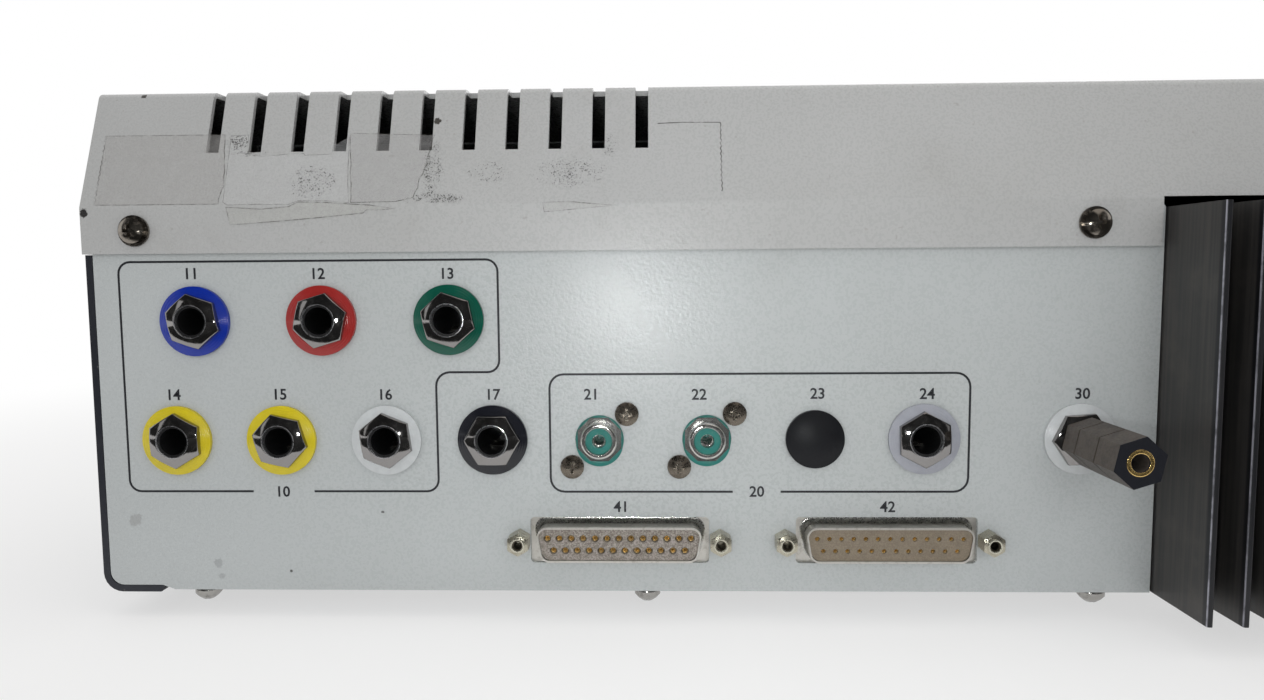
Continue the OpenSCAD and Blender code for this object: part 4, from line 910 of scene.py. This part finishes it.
def speckFinish():
    made = Finish("tapeDirt")
    across = case["edgeX"] - made.axis("X")
    up = (made.axis("Z") - (case["footH"] + case["rearH"])) * (1 / math.cos(case["lean"]))
    cover = None
    for u, w, ru, rw, share in dirtPatches:
        dx = (across - u) * (1 / ru)
        dy = (up - w) * (1 / rw)
        patch = made.limit(dx * dx + dy * dy, 0.2, 1.1, share, 0.0)
        cover = patch if cover is None else cover + patch
    grains = made.noise(3.0, 2, 0.65)
    spread = made.noise(0.35, 3, 0.7, shift=17)
    level = grains + (spread - 0.5) * 0.35 + cover * 0.13
    alpha = made.limit(level, 0.655, 0.735, 0.0, 0.72) * made.limit(cover, 0.05, 0.3)
    return made.close(colour=tape["dirt"], roughness=0.7, alpha=alpha)


edgeDirt = edgeFinish()


def addFilm(name, outline, lift, edge=0.22):
    addPiece(name, filmShape(outline, lift, edge), [filmFinish(*films[name]), edgeDirt])


def flapLift(u, w):  # the loose flap lifts in waves towards its edge
    return tape["flapLift"] + tape["flapWave"] * max(0, math.sin((u - 33) * 0.17)) * min(abs(w), 2) / 2


leftFilm = (teeth(1.9, 0.5, 18.4, -1) + [(30.4, 18.4)] + torn((30.4, 18.4), (31.7, 6.2), 9, 0.18)[1:]
            + torn((31.7, 6.2), (31.0, 0.5), 5, 0.2)[1:])
addFilm("tape_film_left", leftFilm, 0.05)
rightFilm = (torn((61.6, 0.6), (60.0, 18.4), 12, 0.16) + [(80.1, 17.6)]
             + torn((80.1, 17.6), (78.3, 9.0), 7, 0.25)[1:] + torn((78.3, 9.0), (76.0, 1.6), 6, 0.3)[1:]
             + [(72.0, 0.7)])
addFilm("tape_film_right", rightFilm, 0.05)
paleFilm = [(31.8, 18.1), (31.9, 1.0), (33.0, 0.3), (40.5, 0.4), (47.3, 0.3), (49.5, 1.2), (55.1, 1.2),
            (61.2, 0.6), (60.6, 6.0), (60.2, 12.0), (59.7, 18.0), (59.3, 16.9), (58.2, 16.4), (57.3, 15.6),
            (56.4, 15.9), (56.1, 13.0), (49.9, 12.8), (49.5, 13.3), (46.1, 13.2), (40.0, 12.6), (36.2, 13.3),
            (36.0, 18.2)]
addFilm("tape_residue", paleFilm, 0.03, edge=0.12)
flap = [(32.7, -0.1), (33.5, -4.3), (45.0, -3.6), (55.0, -2.8), (64.6, -1.9), (65.4, -1.2), (68.0, -1.25),
        (72.0, -0.9), (66.0, 0.1), (61.6, 0.4), (55.0, 0.9), (49.5, 1.0), (47.3, -0.1), (40.6, -0.6)]
addFilm("tape_flap", flap, flapLift)
scrap = [(105.7, 0.3), (111.7, 0.5), (117.4, -0.1), (123.1, -0.5), (114.0, -1.35), (106.1, -2.0)]
addFilm("tape_scrap", scrap, 0.06, edge=0.18)
trace = lineShape(teeth(146.4, 2.6, 20.0, 1) + [(138.0, 20.1), (132.0, 19.9)], 0.22, 0.02)
for spot in trace.verts:
    spot.co = onCover(spot.co.x, spot.co.y, 0.03 + spot.co.z)
addPiece("tape_trace", trace, edgeDirt)
dirtSheet = [(31.0, 0.45), (146.0, 0.45), (146.0, 19.8), (31.0, 18.8)]
addPiece("tape_dirt", filmShape(dirtSheet, 0.08, 0.1), [speckFinish(), speckFinish()])
print("tape made")

# lines and numbers on the control panel

deskPrint = {"line": 0.5, "height": 3.0, "ink": (0.015, 0.016, 0.02), "halfW": 236, "from": 14, "to": 152,
             "corner": 4, "gap": 0.3, "channels": (226, 142), "channelHeight": 5.0}
levelScale = {"at": (204, 198), "lines": 11, "from": 13.2, "to": 15.4, "numbers": (18.6, 18.4),
              "height": 2.6, "first": -150, "step": 30, "marked": (("0", -150), ("5", 0), ("10", 150))}
keyNumbers = {"x": 52, "pitch": 34, "s": 143}
dialMark = {"at": (178, 70), "from": 25.2, "long": 5.4, "width": 1.0, "thick": 0.08, "rise": 7.08,
            "fall": -10.67}
levelMark = {"from": 2.4, "to": 8.6, "width": 1.1, "thick": 0.05, "rise": 14.22}
keyArrow = {"at": (22, 88), "reach": 2.6, "corner": 0.3, "rise": 4.03}


def onScale(side, degrees, right, up):  # a place round a level knob
    turn = math.radians(degrees)
    x, s = levelScale["at"]
    return side * x + math.sin(turn) * right, s + math.cos(turn) * up


deskInk = inkFinish("deskInk", deskPrint["ink"], 0.0)
deskLines = bmesh.new()
width, low, high, corner = (deskPrint[key] for key in ("halfW", "from", "to", "corner"))
joinInto(deskLines, frameLine([(-width, low, corner), (width, low, corner), (width, high, corner),
                               (-width, high, corner)], deskPrint["line"]))
joinInto(deskLines, lineShape([(0, low + deskPrint["gap"]), (0, high - deskPrint["gap"])], deskPrint["line"]))
for side in (-1, 1):
    for count in range(levelScale["lines"]):
        turn = levelScale["first"] + levelScale["step"] * count
        ends = [onScale(side, turn, levelScale[key], levelScale[key]) for key in ("from", "to")]
        joinInto(deskLines, lineShape(ends, deskPrint["line"]))
move(deskLines, onDesk(0, 0))
addPiece("desk_lines", deskLines, deskInk)
deskNumbers = bmesh.new()
for side, channel in ((-1, "1"), (1, "2")):
    x, s = deskPrint["channels"]
    joinInto(deskNumbers, numberShape(channel, deskPrint["channelHeight"]), onDesk(side * x, s))
    for text, turn in levelScale["marked"]:
        joinInto(deskNumbers, numberShape(text, levelScale["height"]),
                 onDesk(*onScale(side, turn, *levelScale["numbers"])))
for key in range(8):
    step = 3 - key if key < 4 else key - 4
    x = (-1 if key < 4 else 1) * (keyNumbers["x"] + keyNumbers["pitch"] * step)
    joinInto(deskNumbers, numberShape(str(key + 1), deskPrint["height"]), onDesk(x, keyNumbers["s"]))
addPiece("desk_numbers", deskNumbers, deskInk)

whiteInk = inkFinish("whiteInk", (0.7, 0.7, 0.68), 0.0)
for side, name in ((-1, "left"), (1, "right")):
    mark = lineShape([(0, 0), (0, dialMark["long"])], dialMark["width"], dialMark["thick"])
    x, s = dialMark["at"]
    move(mark, onDesk(side * x, s, dialMark["rise"]) @ Matrix.Translation((0, dialMark["from"], 0))
         @ Matrix.Rotation(math.radians(dialMark["fall"]), 4, "X"))
    addPiece("attenuator_mark_" + name, mark, whiteInk, "attenuator_dial_" + name)
    mark = lineShape([(0, levelMark["from"]), (0, levelMark["to"])], levelMark["width"], levelMark["thick"])
    x, s = levelScale["at"]
    move(mark, onDesk(side * x, s, levelMark["rise"]))
    addPiece("level_mark_" + name, mark, whiteInk, "level_knob_" + name)
for way, name in ((-1, "down"), (1, "up")):
    reach, corner = keyArrow["reach"], keyArrow["corner"]
    arrow = outward(outlineFace([(-way * reach, -reach, corner), (way * reach, 0, corner),
                                 (-way * reach, reach, corner)]))
    if arrow.faces[:][0].normal.z < 0:
        bmesh.ops.reverse_faces(arrow, faces=arrow.faces)
    x, s = keyArrow["at"]
    move(arrow, onDesk(way * x, s, keyArrow["rise"]))
    addPiece("frequency_arrow_" + name, arrow, deskInk, "frequency_key_" + name)
print("control panel prints made")

# floor, lamps and camera

# floor and floorZ in metres; the floor is pure white from whiteFrom millimetres out, partly lit nearer
stage = {"floor": 8.0, "floorZ": -0.0001, "litTo": 330.0, "whiteFrom": 650.0, "nearShare": 0.55, "sky": 0.635}


def stageSheet(name, size, place, finish):
    shape = bmesh.new()
    bmesh.ops.create_grid(shape, x_segments=1, y_segments=1, size=size)
    move(shape, place)
    mesh = meshOf(shape, name)
    mesh.materials.append(finish)
    sheet = standing(name, mesh)
    return sheet


def floorFinish():
    made = Finish("paleFloor")
    far = made.node("VectorMath", {"operation": "LENGTH"}, {0: made.at}, output="Value")
    lit = made.node("BsdfDiffuse", None, {"Color": (0.9, 0.9, 0.9)})
    white = made.node("Emission", None, {"Color": (1.0, 1.0, 1.0), "Strength": 1.0})
    share = made.limit(far, stage["litTo"], stage["whiteFrom"], stage["nearShare"], 1.0) * made.seen()
    return made.end(made.node("MixShader", None, {0: share, 1: lit, 2: white}))


def softLamp(name, size, power, at, target, colour=(1, 1, 1), spread=180):
    lamp = bpy.data.lights.new(name, "AREA")
    lamp.shape = "SQUARE"
    lamp.size = size
    lamp.energy = power
    lamp.color = colour
    lamp.spread = math.radians(spread)
    thing = standing(name, lamp)
    thing.location = at
    thing.rotation_mode = "QUATERNION"
    thing.rotation_quaternion = (Vector(target) - Vector(at)).to_track_quat("-Z", "Y")


def studioWorld():
    world = bpy.data.worlds.new("studio")
    bpy.context.scene.world = world
    made = Finish("studio", world)
    strength = made.limit(made.seen(), 0.0, 1.0, stage["sky"], 1.0)
    made.end(made.node("Background", None, {"Color": (1.0, 1.0, 1.0), "Strength": strength}), "World")


def darkCard(name, size, at, tilt):  # a black card that only bright metal shows
    place = Matrix.Translation(at) @ Matrix.Rotation(math.radians(tilt), 4, "X")
    card = stageSheet(name, size, place, Finish(name).close(colour=(0.01, 0.01, 0.01), roughness=0.9))
    card.visible_camera = False
    card.visible_diffuse = False
    card.visible_shadow = False


lamps = {
    "keyLamp": dict(size=0.014, power=0.021, at=(0.132, 0.382, 0.064), target=(0.098, 0.17, 0.056),
                    colour=(0.97, 1.0, 1.0), spread=84),
    "overheadLamp": dict(size=1.4, power=4.1, at=(-0.35, 0.35, 1.5), target=(0, 0, 0.05),
                         colour=(1.0, 0.95, 0.9)),
    "rearLamp": dict(size=0.9, power=5.0, at=(-0.08, 1.7, 0.46), target=(0, 0.17, 0.03),
                     colour=(0.98, 1.0, 1.0)),
    "leftLamp": dict(size=1.0, power=2.2, at=(1.3, 1.5, 0.51), target=(0, 0, 0.05)),
    "rightLamp": dict(size=1.0, power=1.1, at=(-1.3, 1.5, 0.51), target=(0, 0, 0.05)),
    "frontLamp": dict(size=1.2, power=5.0, at=(-0.3, -1.6, 0.9), target=(0, 0, 0.05)),
}

cards = {
    "cardBehind": dict(size=5.0, at=(0.1, 1.3, 5.0), tilt=90),
    "cardBelow": dict(size=0.545, at=(0.1, 0.78, 0.004), tilt=0),
}

stageSheet("floor", stage["floor"], Matrix.Translation((0, 0, stage["floorZ"])), floorFinish())
studioWorld()
for name, settings in cards.items():
    darkCard(name, **settings)
for name, settings in lamps.items():
    softLamp(name, **settings)

view = {"lens": 26.204, "place": (0.11591, 0.37898, 0.08273), "forward": (0.0313743, -0.99568013, -0.08738839),
        "up": (-0.00474401, -0.08757879, 0.9961463)}
lens = bpy.data.cameras.new("camera")
lens.lens = view["lens"]
lens.sensor_width = 36.0
lens.clip_start = 0.01
camera = standing("camera", lens)
back = -Vector(view["forward"]).normalized()
up = Vector(view["up"]).normalized()
right = up.cross(back)
stand = Matrix((right, up, back)).transposed().to_4x4()
stand.translation = Vector(view["place"])
camera.matrix_world = stand
bpy.context.scene.camera = camera
bpy.context.scene.view_settings.view_transform = "Standard"
